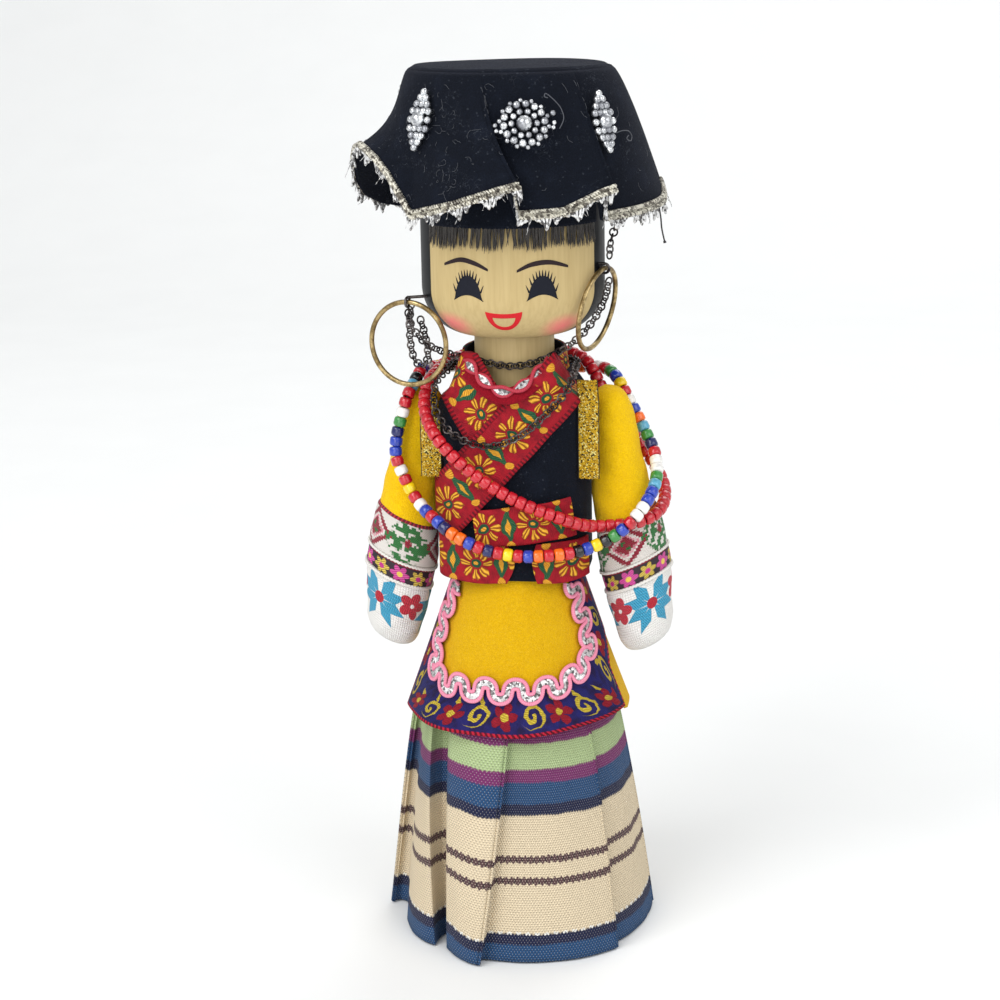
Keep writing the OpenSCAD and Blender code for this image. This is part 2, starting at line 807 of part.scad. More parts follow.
module ear_bore(pin, r) {
    rotate([0, 0, pin[0] - 90])
        translate([head_r - pin_depth, 0, chin_z + pin[2] + eye_r])
            rotate([0, 90, 0])
                cylinder(r = r, h = pin_depth + pin[1]);
}

// Hoop plane: direction of the wire where it passes through the eye, and lean inwards of the foot
hoop_left_turn = -17;
hoop_right_turn = 72;
hoop_right_lean = 12;

module ear_pin(pin, turn) {
    at = ear_point(pin);
    color("dimgray") {
        ear_bore(pin, pin_r);
        translate(at)
            rotate([0, 0, turn])
                rotate([0, 90, 0])
                    rotate_extrude()
                        translate([eye_r, 0])
                            circle(eye_wire_r, $fn = 24);
    }
}

module ear_pin_left() {
    ear_pin(ear_left, hoop_left_turn);
}

module ear_pin_right() {
    ear_pin(ear_right, hoop_right_turn);
}

module hoop(pin, turn, lean) {
    color("darkkhaki")
        translate(ear_point(pin))
            rotate([0, 0, turn])
                rotate([lean, 0, 0])
                    translate([0, 0, -hoop_r])
                        rotate([90, 0, 0])
                            rotate_extrude()
                                translate([hoop_r, 0])
                                    circle(hoop_wire_r, $fn = 32);
}

module hoop_left() {
    hoop(ear_left, hoop_left_turn, 0);
}

module hoop_right() {
    hoop(ear_right, hoop_right_turn, hoop_right_lean);
}

// Hair fringe: a comb of strands hanging from a band round the front of the head
fringe_from = -52;
fringe_to = 66;
fringe_strands = 80;
fringe_t = 0.45;
fringe_band_h = 9;
fringe_z = chin_z + brim_h + 3;
fringe_r = head_r + layer_gap + 0.05;
function strand_foot(i) = fringe_z - fringe_l + 1.2 * sin(i * 137) - 0.6;

module hair_fringe() {
    step = (fringe_to - fringe_from) / (2 * fringe_strands + 1);
    cols = 2 * fringe_strands + 1;
    function foot_at(k) = k % 2 == 1 ? strand_foot(k) : fringe_z - fringe_band_h;
    function edge(k, z) = [
        around(fringe_from + k * step, fringe_r + fringe_t, z), around(fringe_from + k * step, fringe_r, z)
    ];
    upper = [for (k = [0 : cols]) each concat(edge(k, fringe_z), edge(k, fringe_z - fringe_band_h))];
    lower = [for (k = [1 : 2 : cols - 1]) each concat(edge(k, foot_at(k)), edge(k + 1, foot_at(k)))];
    base = len(upper);
    faces = [
        for (k = [0 : cols - 1])
            let (a = 4 * k, b = 4 * k + 4)
            each concat(
                [[a, b, b + 2], [a, b + 2, a + 2], [a + 1, b + 3, b + 1], [a + 1, a + 3, b + 3]],
                [[a + 1, b + 1, b], [a + 1, b, a]],
                k % 2 == 0 ? [[a + 3, a + 2, b + 2], [a + 3, b + 2, b + 3]] : []
            ),
        for (k = [1 : 2 : cols - 1])
            let (a = 4 * k, b = 4 * k + 4, c = base + 2 * (k - 1))
            each [
                [a + 2, b + 2, c + 2], [a + 2, c + 2, c], [a + 3, c + 3, b + 3], [a + 3, c + 1, c + 3],
                [a + 3, a + 2, c], [a + 3, c, c + 1], [b + 2, b + 3, c + 3], [b + 2, c + 3, c + 2],
                [c, c + 2, c + 3], [c, c + 3, c + 1]
            ],
        [1, 0, 2], [1, 2, 3],
        [4 * cols, 4 * cols + 1, 4 * cols + 3], [4 * cols, 4 * cols + 3, 4 * cols + 2]
    ];
    color("black")
        polyhedron(concat(upper, lower), faces);
}

// Hat: a flat round top, and a gathered cloth that hangs from its edge in folds
hat_top_r = head_r + 2.1;
hat_seam_z = hat_top_z - 1.2;

module hat_top() {
    color("black")
        rotate_extrude()
            polygon([
                [0, crown_z + layer_gap], [head_r - 0.6, crown_z + layer_gap],
                [head_r + layer_gap, crown_z - 0.5],
                [head_r + layer_gap, crown_z - 6], [head_r + 0.8, crown_z - 6], [head_r + 0.8, crown_z + 0.2],
                [head_r + 0.3, hat_top_z - 0.3], [head_r - 1, hat_top_z], [0, hat_top_z]
            ]);
}

// Folds of the hem: degrees round from the front, radius and height against the mean hem
veil_folds = [
    [-128, -2.5, -3], [-118, 0.4, -4], [-110, 2.4, -2.6], [-102, 4, 0], [-95, 4.2, 4], [-88, 3.4, 10],
    [-81, 2.2, 13.5], [-73, 1.4, 14.5], [-64, 0.6, 13.5], [-55, 0, 11.5], [-47, -0.4, 8], [-40, -0.6, 3],
    [-34, -0.8, -2], [-14, 0.6, 1.2], [4, 1.6, 5.2], [11, 2, 6.4], [15, -2.8, -1.6], [28, -1.2, -1],
    [42, 1.2, 3.4], [48, 1.8, 4.4], [52, -3, -3.2], [68, -1, -2.6], [92, 1.2, -1.6], [108, 1.6, 2.2],
    [112, -2.6, -2], [150, -0.6, -1.2], [172, 1.6, 2.2], [176, -2.6, -2], [208, 0.8, 0.6], [212, -2.6, -2],
    [232, -2.5, -3]
];
veil_from = veil_folds[0][0];
veil_cols = 90;
veil_rows = [0, 0.1, 0.25, 0.45, 0.7, 1];
function veil_fold(a) = lookup(a, [for (f = veil_folds) [f[0], f[1]]]);
function veil_lift(a) = lookup(a, [for (f = veil_folds) [f[0], f[2]]]);
function veil_point(a, share, out, drop) =
    let (folded = pow(share, 1.6))
    around(a, mix(hat_top_r, brim_r, pow(share, 0.7)) + veil_fold(a) * folded + out,
        mix(hat_seam_z, chin_z + brim_h - 1, share) + veil_lift(a) * folded - drop);
function veil_grid(out) = [
    for (share = veil_rows)
        [for (j = [0 : veil_cols - 1]) veil_point(veil_from + 360 * j / veil_cols, share, out, 0)]
];

module hat_veil() {
    color("black")
        cloth_ring(veil_grid(0), veil_grid(-hat_t));
}

// Silver braid along the hem, with its fringe hanging below
braid_top = 0.93;
braid_drop = 2;
braid_t = 0.7;
function braid_grid(out) = [
    for (row = [[braid_top, 0], [1, 0], [1, braid_drop]])
        [for (j = [0 : veil_cols - 1]) veil_point(veil_from + 360 * j / veil_cols, row[0], out, row[1])]
];

module hat_braid() {
    color("silver")
        cloth_ring(braid_grid(0.25 + braid_t), braid_grid(0.25));
}

// Silver medallions: a thin plate set with balls
plate_t = 0.5;
ball_r = 0.8;
medal_gap = 0.7;
// Degrees round from the front, share of the way down the hat, and lean in degrees
medal_left = [-36, 0.3, 17];
medal_centre = [12.5, 0.36, 25];
medal_right = [60, 0.34, 15.5];

module on_hat(medal) {
    translate(veil_point(medal[0], medal[1], medal_gap, 0))
        rotate([0, 0, medal[0]])
            rotate([90 - medal[2], 0, 0])
                children();
}

module medal_balls(spots, r) {
    difference() {
        for (p = spots)
            translate([p.x, p.y, plate_t])
                sphere(r, $fn = 24);
        translate([-far, -far, -far])
            cube([2 * far, 2 * far, far]);
    }
}

module medallion_centre() {
    petals = 10;
    color("silver")
        on_hat(medal_centre) {
            cylinder(r = 4.8, h = plate_t);
            medal_balls([for (i = [0 : petals - 1]) 4 * [cos(360 * i / petals), sin(360 * i / petals)]], 1.1);
            medal_balls([[0, 0]], 1.9);
        }
}

module medallion_diamond(medal) {
    pitch = 2 * ball_r + 0.15;
    color("silver")
        on_hat(medal) {
            linear_extrude(plate_t)
                polygon([[0, -7], [2.8, -2.4], [2.8, 2.4], [0, 7], [-2.8, 2.4], [-2.8, -2.4]]);
            medal_balls([for (k = [-3 : 3]) [0, k * pitch]], ball_r);
            medal_balls([for (s = [-1, 1]) for (k = [-1.5 : 1.5]) [s * 1.7, k * pitch]], ball_r);
        }
}

module medallion_left() {
    medallion_diamond(medal_left);
}

module medallion_right() {
    medallion_diamond(medal_right);
}

// Arms: distance down from the pivot, and radius of the stuffed sleeve
sleeve_cap = 7.5;
sleeve_outline = smooth([
    [0, sleeve_cap], [0.5 * upper_r, sleeve_cap - 1.3], [0.82 * upper_r, 3],
    [0.94 * upper_r, -4], [upper_r, -14],
    [mix(upper_r, forearm_r, 0.55), -26], [forearm_r - 0.1, -36], [forearm_r, 21 - arm_l],
    [forearm_r - 0.8, 14 - arm_l], [forearm_r - 2, 7 - arm_l], [forearm_r - 3.8, 2.5 - arm_l],
    [forearm_r - 6, 0.6 - arm_l], [0, -arm_l]
], 3, false);
// Where the bands start, down from the pivot
band_diamond = 28;
band_floral = 39.5;
band_hand = 45;
core_foot = arm_l - 10;

module in_arm(side) {
    mirror([side > 0 ? 0 : 1, 0, 0])
        translate([pivot_x, 0, pivot_z])
            rotate([0, -arm_tilt, 0])
                children();
}

module stuffed(grow) {
    rotate_extrude()
        polygon([for (p = sleeve_outline) [p.x + (p.x > 0 ? grow : 0), p.y - (p.y < -arm_l + 1 ? grow : 0)]]);
}

module below(distance) {
    translate([0, 0, -distance])
        rotate([0, -cuff_slant, 0])
            translate([-far, -far, -2 * far])
                cube(2 * far);
}

core_top = 4.5;

module core_bore() {
    translate([0, 0, -core_foot - glue_gap])
        cylinder(r = core_r + glue_gap, h = core_foot + core_top + 2 * glue_gap);
}

module dowel_bore(side, r) {
    translate([0, 0, pivot_z])
        rotate([0, 90 * side, 0])
            cylinder(r = r, h = pivot_x + core_r);
}

module arm_core(side) {
    color("tan")
        difference() {
            in_arm(side)
                translate([0, 0, -core_foot])
                    cylinder(r = core_r, h = core_foot + core_top);
            dowel_bore(side, dowel_r + run_gap);
        }
}

module sleeve(side) {
    color("gold")
        difference() {
            in_arm(side)
                difference() {
                    stuffed(0);
                    below(band_diamond);
                    core_bore();
                }
            dowel_bore(side, dowel_r + cloth_gap);
        }
}

module cuff(side, start, end) {
    in_arm(side)
        difference() {
            intersection() {
                stuffed(cuff_lift);
                below(start);
            }
            below(end);
            core_bore();
        }
}

module arm_core_left() {
    arm_core(-1);
}

module arm_core_right() {
    arm_core(1);
}

module sleeve_left() {
    sleeve(-1);
}

module sleeve_right() {
    sleeve(1);
}

module cuff_diamond_left() {
    color("whitesmoke")
        cuff(-1, band_diamond, band_floral);
}

module cuff_diamond_right() {
    color("whitesmoke")
        cuff(1, band_diamond, band_floral);
}

module cuff_floral_left() {
    color("darkslategray")
        cuff(-1, band_floral, band_hand);
}

module cuff_floral_right() {
    color("darkslategray")
        cuff(1, band_floral, band_hand);
}

module cuff_hand_left() {
    color("lightcyan")
        cuff(-1, band_hand, 2 * arm_l);
}

module cuff_hand_right() {
    color("lightcyan")
        cuff(1, band_hand, 2 * arm_l);
}

foot();
body_peg();
shoulder_dowel();
waist_tape();
skirt();
tunic_front();
tunic_back();
apron_border();
apron_ricrac();
vest();
lapel_under();
lapel_over();
front_tab();
hem_ribbon_left();
hem_ribbon_right();
collar();
neck_braid();
armhole_trim_left();
armhole_trim_right();
chest_chain();
red_thread();
mixed_thread();
red_strand_beads();
mixed_beads_red();
mixed_beads_blue();
mixed_beads_navy();
mixed_beads_white();
mixed_beads_yellow();
mixed_beads_orange();
mixed_beads_green();
mixed_beads_black();
mixed_beads_light_blue();
head();
hair_fringe();
hat_top();
hat_veil();
hat_braid();
medallion_left();
medallion_centre();
medallion_right();
ear_pin_left();
ear_pin_right();
chin_chain();
ear_chain_left();
ear_chain_right();
hoop_left();
hoop_right();
arm_core_left();
sleeve_left();
cuff_diamond_left();
cuff_floral_left();
cuff_hand_left();
arm_core_right();
sleeve_right();
cuff_diamond_right();
cuff_floral_right();
cuff_hand_right();
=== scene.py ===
"""Dresses the wooden folk doll: cloth, trims, strands, paint and metal, in the part's own frame.

Lengths in this file are millimetres and angles degrees, unless a name says otherwise.
An angle runs round the doll's axis from the front (-Y) towards +X.
"""

import logging
from collections.abc import Callable, Sequence
from dataclasses import dataclass
from enum import Enum
from typing import Any

import bmesh
import bpy
import numpy as np
from mathutils import Matrix


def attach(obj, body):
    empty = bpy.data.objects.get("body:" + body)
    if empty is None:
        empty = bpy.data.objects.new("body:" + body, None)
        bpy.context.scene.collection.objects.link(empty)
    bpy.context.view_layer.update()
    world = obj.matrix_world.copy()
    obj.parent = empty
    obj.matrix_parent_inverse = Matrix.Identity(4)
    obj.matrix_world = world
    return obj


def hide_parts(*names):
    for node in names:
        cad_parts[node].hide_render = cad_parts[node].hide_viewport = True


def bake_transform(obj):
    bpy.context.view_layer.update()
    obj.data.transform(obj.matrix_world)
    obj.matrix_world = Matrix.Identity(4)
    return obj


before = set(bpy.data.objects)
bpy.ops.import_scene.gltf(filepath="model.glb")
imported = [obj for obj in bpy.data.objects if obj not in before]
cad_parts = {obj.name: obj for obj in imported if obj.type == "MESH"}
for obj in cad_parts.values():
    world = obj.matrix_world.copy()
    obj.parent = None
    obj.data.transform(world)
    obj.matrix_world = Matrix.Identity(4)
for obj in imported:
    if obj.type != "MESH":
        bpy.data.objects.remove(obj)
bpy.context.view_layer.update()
LOG = logging.getLogger("doll")
MM = 0.001
Array = np.ndarray
Colour = tuple[float, float, float, float]
Finish = bpy.types.Material
Thing = bpy.types.Object
TURN = 2.0 * np.pi
TINY = 1e-9
LEVEL = np.array([1.0, 1.0, 0.0])
UPRIGHT = np.array([0.0, 0.0, 1.0])


class Side(Enum):
    """The two sides of the doll, with the sign of X."""

    LEFT = -1
    RIGHT = 1

    @property
    def word(self) -> str:
        """The side's name in lower case."""
        return self.name.lower()


class Body(Enum):
    """The moving bodies that pieces ride on."""

    TORSO = "torso"
    HEAD = "head"
    ARM_LEFT = "arm_left"
    ARM_RIGHT = "arm_right"


def rgb(red: int, green: int, blue: int) -> Colour:
    """Gives the linear colour of three 0 to 255 display values."""
    share = np.array([red, green, blue]) / 255.0
    linear = np.where(share <= 0.04045, share / 12.92, ((share + 0.055) / 1.055) ** 2.4)
    return (float(linear[0]), float(linear[1]), float(linear[2]), 1.0)


class Sock:
    """A value in a shader graph, with arithmetic that adds Math nodes."""

    def __init__(self, graph: "Graph", socket: bpy.types.NodeSocket) -> None:
        self.graph = graph
        self.socket = socket

    def _math(self, operation: str, *others: Any) -> "Sock":
        """Adds one Math node fed by this value and the others."""
        return self.graph.math(operation, self, *others)

    def __add__(self, other: Any) -> "Sock":
        """Sum."""
        return self._math("ADD", other)

    __radd__ = __add__

    def __mul__(self, other: Any) -> "Sock":
        """Product."""
        return self._math("MULTIPLY", other)

    __rmul__ = __mul__

    def __sub__(self, other: Any) -> "Sock":
        """Difference."""
        return self._math("SUBTRACT", other)

    def __rsub__(self, other: Any) -> "Sock":
        """Difference the other way round."""
        return self.graph.math("SUBTRACT", other, self)

    def __truediv__(self, other: Any) -> "Sock":
        """Quotient."""
        return self._math("DIVIDE", other)

    def __rtruediv__(self, other: Any) -> "Sock":
        """Quotient the other way round."""
        return self.graph.math("DIVIDE", other, self)

    def __neg__(self) -> "Sock":
        """Negative."""
        return self._math("MULTIPLY", -1.0)

    def sin(self) -> "Sock":
        """Sine."""
        return self._math("SINE")

    def cos(self) -> "Sock":
        """Cosine."""
        return self._math("COSINE")

    def size(self) -> "Sock":
        """Absolute value."""
        return self._math("ABSOLUTE")

    def floor(self) -> "Sock":
        """Next whole number below."""
        return self._math("FLOOR")

    def frac(self) -> "Sock":
        """Part after the whole number."""
        return self._math("FRACT")

    def root(self) -> "Sock":
        """Square root."""
        return self._math("SQRT")

    def power(self, other: Any) -> "Sock":
        """This value to a power."""
        return self._math("POWER", other)

    def least(self, other: Any) -> "Sock":
        """Lesser of two values."""
        return self._math("MINIMUM", other)

    def most(self, other: Any) -> "Sock":
        """Greater of two values."""
        return self._math("MAXIMUM", other)

    def bearing(self, other: "Sock") -> "Sock":
        """Angle in radians of the point (other, this)."""
        return self._math("ARCTAN2", other)

    def step(self, low: float, high: float) -> "Sock":
        """Smooth step from 0 at low to 1 at high; high below low turns it round."""
        return self.graph.value(
            "ShaderNodeMapRange",
            {"interpolation_type": "SMOOTHSTEP", "clamp": True},
            {0: self, 1: min(low, high), 2: max(low, high), 3: float(low > high), 4: float(low < high)},
        )

    def band(self, low: float, high: float, soft: float) -> "Sock":
        """1 between low and high, with soft edges."""
        return self.step(low - soft, low + soft) * self.step(high + soft, high - soft)

    def cell(self, pitch: float, shift: float = 0.0) -> "Sock":
        """Place in a repeat of the given pitch, measured from the repeat's middle."""
        return ((self / pitch + shift).frac() - 0.5) * pitch

    def turns(self) -> "Sock":
        """Sine of a number of whole turns."""
        return (self * TURN).sin()

    def wave(self, pitch: float) -> "Sock":
        """Sine that repeats at the given pitch."""
        return (self / pitch).turns()

    def far(self, other: "Sock") -> "Sock":
        """Distance of the point (this, other) from zero."""
        return (self * self + other * other).root()


class Graph:
    """One material's node graph round a Principled surface."""

    def __init__(self, name: str) -> None:
        self.material = bpy.data.materials.new(name)
        self.material.use_nodes = True
        self.tree = self.material.node_tree
        self.tree.nodes.clear()
        self.surface = self.tree.nodes.new("ShaderNodeBsdfPrincipled")
        output = self.tree.nodes.new("ShaderNodeOutputMaterial")
        self.tree.links.new(self.surface.outputs[0], output.inputs[0])

    def feed(self, socket: bpy.types.NodeSocket, value: Any) -> None:
        """Links a Sock to a socket, or sets the socket's constant."""
        if isinstance(value, Sock):
            self.tree.links.new(value.socket, socket)
        else:
            socket.default_value = value

    def node(self, kind: str, settings: dict[str, Any], inputs: dict[Any, Any]) -> bpy.types.Node:
        """Adds any node.

        Args:
            kind: Blender's name of the node type.
            settings: Node properties, set before the sockets.
            inputs: Socket index or name, with a constant or a Sock.

        Returns:
            The new node.
        """
        node = self.tree.nodes.new(kind)
        for key, value in settings.items():
            setattr(node, key, value)
        for key, value in inputs.items():
            self.feed(node.inputs[key], value)
        return node

    def value(self, kind: str, settings: dict[str, Any], inputs: dict[Any, Any], key: Any = 0) -> Sock:
        """Adds a node and gives the result that key names."""
        return Sock(self, self.node(kind, settings, inputs).outputs[key])

    def math(self, operation: str, *values: Any) -> Sock:
        """Adds a Math node and gives its result."""
        return self.value("ShaderNodeMath", {"operation": operation}, dict(enumerate(values)))

    def mix(self, share: Any, first: Any, second: Any) -> Sock:
        """Mixes two colours."""
        return self.value("ShaderNodeMix", {"data_type": "RGBA"}, {0: share, 6: first, 7: second}, 2)

    def paint(self, base: Any, *layers: tuple[Any, Any]) -> Sock:
        """Lays coloured layers over a base colour.

        Args:
            base: Colour below.
            layers: Pairs of mask and colour, from the bottom up.

        Returns:
            The colour on top.
        """
        for mask, colour in layers:
            base = self.mix(mask, base, colour)
        return base

    def flat(self) -> tuple[Sock, Sock]:
        """Gives the cloth's own flat coordinates in millimetres."""
        u, v, _ = self.split(self.value("ShaderNodeUVMap", {"uv_map": "cloth"}, {}))
        return u, v

    def spot(self) -> Sock:
        """Gives the object coordinates in millimetres, as a vector."""
        place = self.value("ShaderNodeTexCoord", {}, {}, "Object")
        return self.value("ShaderNodeVectorMath", {"operation": "SCALE"}, {0: place, 3: 1.0 / MM})

    def split(self, vector: Sock) -> tuple[Sock, Sock, Sock]:
        """Gives the three parts of a vector."""
        x, y, z = self.node("ShaderNodeSeparateXYZ", {}, {0: vector}).outputs
        return Sock(self, x), Sock(self, y), Sock(self, z)

    def vector(self, first: Any, second: Any, third: Any = 0.0) -> Sock:
        """Joins three values to a vector."""
        return self.value("ShaderNodeCombineXYZ", {}, {0: first, 1: second, 2: third})

    def noise(self, vector: Sock, scale: float, detail: float = 2.0, twist: float = 0.0) -> Sock:
        """Soft noise from 0 to 1."""
        inputs = {"Vector": vector, "Scale": scale, "Detail": detail, "Distortion": twist}
        return self.value("ShaderNodeTexNoise", {}, inputs)

    def specks(self, vector: Sock, scale: float) -> Sock:
        """A random value from 0 to 1 for each small cell."""
        return self.split(self.value("ShaderNodeTexVoronoi", {}, {"Vector": vector, "Scale": scale}, "Color"))[0]

    def done(self, colour: Any, rough: Any, height: Any = None, depth: float = 0.1, **constants: Any) -> Finish:
        """Feeds the surface.

        Args:
            colour: Base colour.
            rough: Roughness.
            height: Relief, or None.
            depth: Height of the relief in millimetres.
            constants: Other Principled sockets by name, with _ for a space.

        Returns:
            The finished material.
        """
        self.feed(self.surface.inputs["Base Color"], colour)
        self.feed(self.surface.inputs["Roughness"], rough)
        if height is not None:
            relief = {"Strength": 1.0, "Distance": depth * MM, "Height": height}
            self.feed(self.surface.inputs["Normal"], self.value("ShaderNodeBump", {}, relief))
        for key, value in constants.items():
            self.feed(self.surface.inputs[key.replace("_", " ")], value)
        return self.material


@dataclass(frozen=True)
class PaleWood:
    """Bare turned wood with fine upright grain."""

    name: str = "pale turned wood"
    light: Colour = rgb(196, 174, 125)
    dark: Colour = rgb(178, 154, 106)

    def grain(self, g: Graph) -> Sock:
        """Streaks that run up the axis: noise squeezed along Z."""
        x, y, z = g.split(g.spot())
        return g.noise(g.vector(x * 1.1, y * 1.1, z * 0.07), 1.0, 4.0, 0.4)

    def material(self) -> Finish:
        """Builds the finish."""
        g = Graph(self.name)
        grain = self.grain(g)
        colour = g.mix(grain.step(0.3, 0.75) * 0.7, self.light, self.dark)
        return g.done(colour, 0.55, grain, 0.04, Specular_IOR_Level=0.25)


@dataclass(frozen=True)
class FaceWood(PaleWood):
    """The head: bare wood in front, blushed cheeks and glossy painted black hair round it."""

    name: str = "painted head"
    hair: Colour = rgb(11, 12, 16)
    blush: Colour = rgb(238, 120, 125)
    face_from: float = -54.0
    face_to: float = 68.0
    jaw_z: float = 174.0

    def material(self) -> Finish:
        """Builds the finish; the hair line follows the jaw inward below the cheeks."""
        g = Graph(self.name)
        grain = self.grain(g)
        x, y, z = g.split(g.spot())
        angle = x.bearing(-y) * (360.0 / TURN)
        middle = (self.face_from + self.face_to) / 2.0
        half = (self.face_to - self.face_from) / 2.0
        drop = (self.jaw_z - z).most(0.0) / 12.0
        edge = half - drop * drop * 5.0
        off = (angle - middle).size()
        hair = (off - edge).step(-0.35, 0.35)
        crown = z.step(196.0, 196.6)
        wood = g.mix(grain.step(0.3, 0.75) * 0.55, self.light, self.dark)
        cheek = None
        for at, height in ((-40.0, 165.6), (46.0, 165.0)):
            along = (angle - at) / 19.0
            up = (z - height) / 3.8
            spot = along.far(up).step(1.15, 0.1)
            cheek = spot if cheek is None else cheek.most(spot)
        brush = g.noise(g.spot(), 0.9, 3.0)
        wood = g.mix(cheek * (0.55 + 0.5 * brush).least(0.85), wood, self.blush)
        mask = hair.most(crown)
        colour = g.mix(mask, wood, self.hair)
        rough = 0.55 - 0.1 * mask
        return g.done(colour, rough, grain * (1.0 - mask), 0.03, Specular_IOR_Level=0.12)


@dataclass(frozen=True)
class Paint:
    """Brush paint on the face."""

    name: str
    colour: Colour

    def material(self) -> Finish:
        """Builds the finish with a faint brush texture."""
        g = Graph(self.name)
        brush = g.noise(g.spot(), 1.4, 4.0)
        colour = g.mix(brush * 0.12, self.colour, rgb(60, 62, 72))
        return g.done(colour, 0.5, brush, 0.03, Specular_IOR_Level=0.12)


@dataclass(frozen=True)
class Velvet:
    """Black cotton velvet with pale lint on it."""

    name: str = "black velvet"
    pile: Colour = rgb(8, 12, 21)
    worn: Colour = rgb(22, 28, 41)
    lint: Colour = rgb(66, 70, 78)

    def material(self) -> Finish:
        """Builds the finish; lint fibres are thin lines where a twisted noise crosses its middle."""
        g = Graph(self.name)
        spot = g.spot()
        pile = g.noise(spot, 3.2, 3.0)
        wear = g.noise(spot, 0.16, 3.0)
        fibre = (g.noise(spot, 0.42, 1.0, 1.8) - 0.5).size().step(0.010, 0.003)
        place = g.noise(spot, 0.11, 2.0).step(0.54, 0.64)
        dust = g.specks(spot, 2.6).step(0.985, 0.992)
        colour = g.mix(pile.step(0.3, 0.8) * 0.5 + wear.step(0.45, 0.75) * 0.4, self.pile, self.worn)
        colour = g.mix((fibre * place * 0.75).most(dust * 0.4), colour, self.lint)
        return g.done(
            colour, 0.95, pile, 0.25, Sheen_Weight=0.12, Sheen_Roughness=0.4, Sheen_Tint=rgb(120, 125, 150),
            Specular_IOR_Level=0.15,
        )


@dataclass(frozen=True)
class Felt:
    """Wool felt with fine loose fibres."""

    name: str = "yellow felt"
    light: Colour = rgb(224, 178, 4)
    dark: Colour = rgb(202, 152, 2)
    fibre: Colour = rgb(255, 222, 90)

    def material(self) -> Finish:
        """Builds the finish from three sizes of noise."""
        g = Graph(self.name)
        spot = g.spot()
        fluff = g.noise(spot, 2.4, 5.0, 1.2)
        patch = g.noise(spot, 0.22, 2.0)
        fibre = (g.noise(spot, 1.5, 1.0, 2.6) - 0.5).size().step(0.03, 0.005)
        colour = g.mix(fluff.step(0.3, 0.72) * 0.7 + patch * 0.3, self.light, self.dark)
        colour = g.mix(fibre * 0.3, colour, self.fibre)
        return g.done(colour, 0.92, fluff, 0.35, Sheen_Weight=0.05, Sheen_Roughness=0.5, Specular_IOR_Level=0.1)


@dataclass(frozen=True)
class StripedWeave:
    """The skirt: hand-woven cotton with coloured stripes across the height."""

    name: str = "striped skirt cloth"
    cream: Colour = rgb(228, 210, 178)
    sage: Colour = rgb(176, 196, 142)
    purple: Colour = rgb(122, 48, 104)
    blue: Colour = rgb(33, 75, 118)
    navy: Colour = rgb(24, 33, 66)
    brown: Colour = rgb(92, 66, 68)
    white: Colour = rgb(238, 236, 228)

    def material(self) -> Finish:
        """Builds the finish; v is the height on the cloth and the weave is two crossed sine ribs."""
        g = Graph(self.name)
        u, v = g.flat()
        wander = g.noise(g.vector(u, v), 0.12, 2.0) - 0.5
        rib = u.wave(1.05)
        level = v + wander * 1.1 + rib * 0.14
        row = (v / 0.62).floor()
        odd = (row * 0.5).frac() * 2.0
        warp = (u / 0.86 + odd * 0.5).turns()
        weft = v.wave(0.62)
        knot = warp * 0.5 + weft * 0.35
        bump = u.wave(1.9)
        rope = g.mix(bump.step(-0.95, -0.4), rgb(58, 42, 46), self.brown)
        dash = u.wave(2.6).step(-0.2, 0.1)
        nap = g.noise(g.vector(u * 0.7, v * 1.6), 1.3, 3.0)
        stripes = g.paint(
            self.cream,
            (((level - 27.4).size() - bump * 0.24).step(1.05, 0.8), rope),
            (((level - 21.6).size() - bump * 0.24).step(1.05, 0.8), rope),
            (level.step(38.5, 39.1), self.navy),
            (level.step(41.4, 42.0), self.blue),
            (level.step(46.9, 47.5), self.purple),
            (level.step(50.4, 51.0), self.sage),
            (level.step(57.0, 57.6), self.purple),
            (level.step(8.2, 7.6), self.navy),
            (level.step(5.3, 4.7), self.blue),
            (level.band(7.7, 8.3, 0.12) * dash, self.white),
        )
        plain = level.band(8.5, 38.7, 0.3)
        fleck = warp.step(0.55, 0.95) * weft.step(-0.2, 0.5) * (1.0 - plain)
        # Painted shade in the weave's dips, where the knot relief is low.
        shaded = g.mix(knot.step(-0.1, -0.75) * 0.45, stripes, rgb(70, 58, 66))
        shaded = g.mix(fleck * 0.22, shaded, self.white)
        # Painted highlight on the raised knots of the plain cream stripe.
        shaded = g.mix(knot.step(0.25, 0.8) * plain * 0.35, shaded, rgb(250, 238, 214))
        shaded = g.mix(nap.step(0.55, 0.85) * 0.25, shaded, rgb(120, 100, 100))
        return g.done(shaded, 0.9, knot + nap * 0.5, 0.2, Sheen_Weight=0.05, Specular_IOR_Level=0.15)


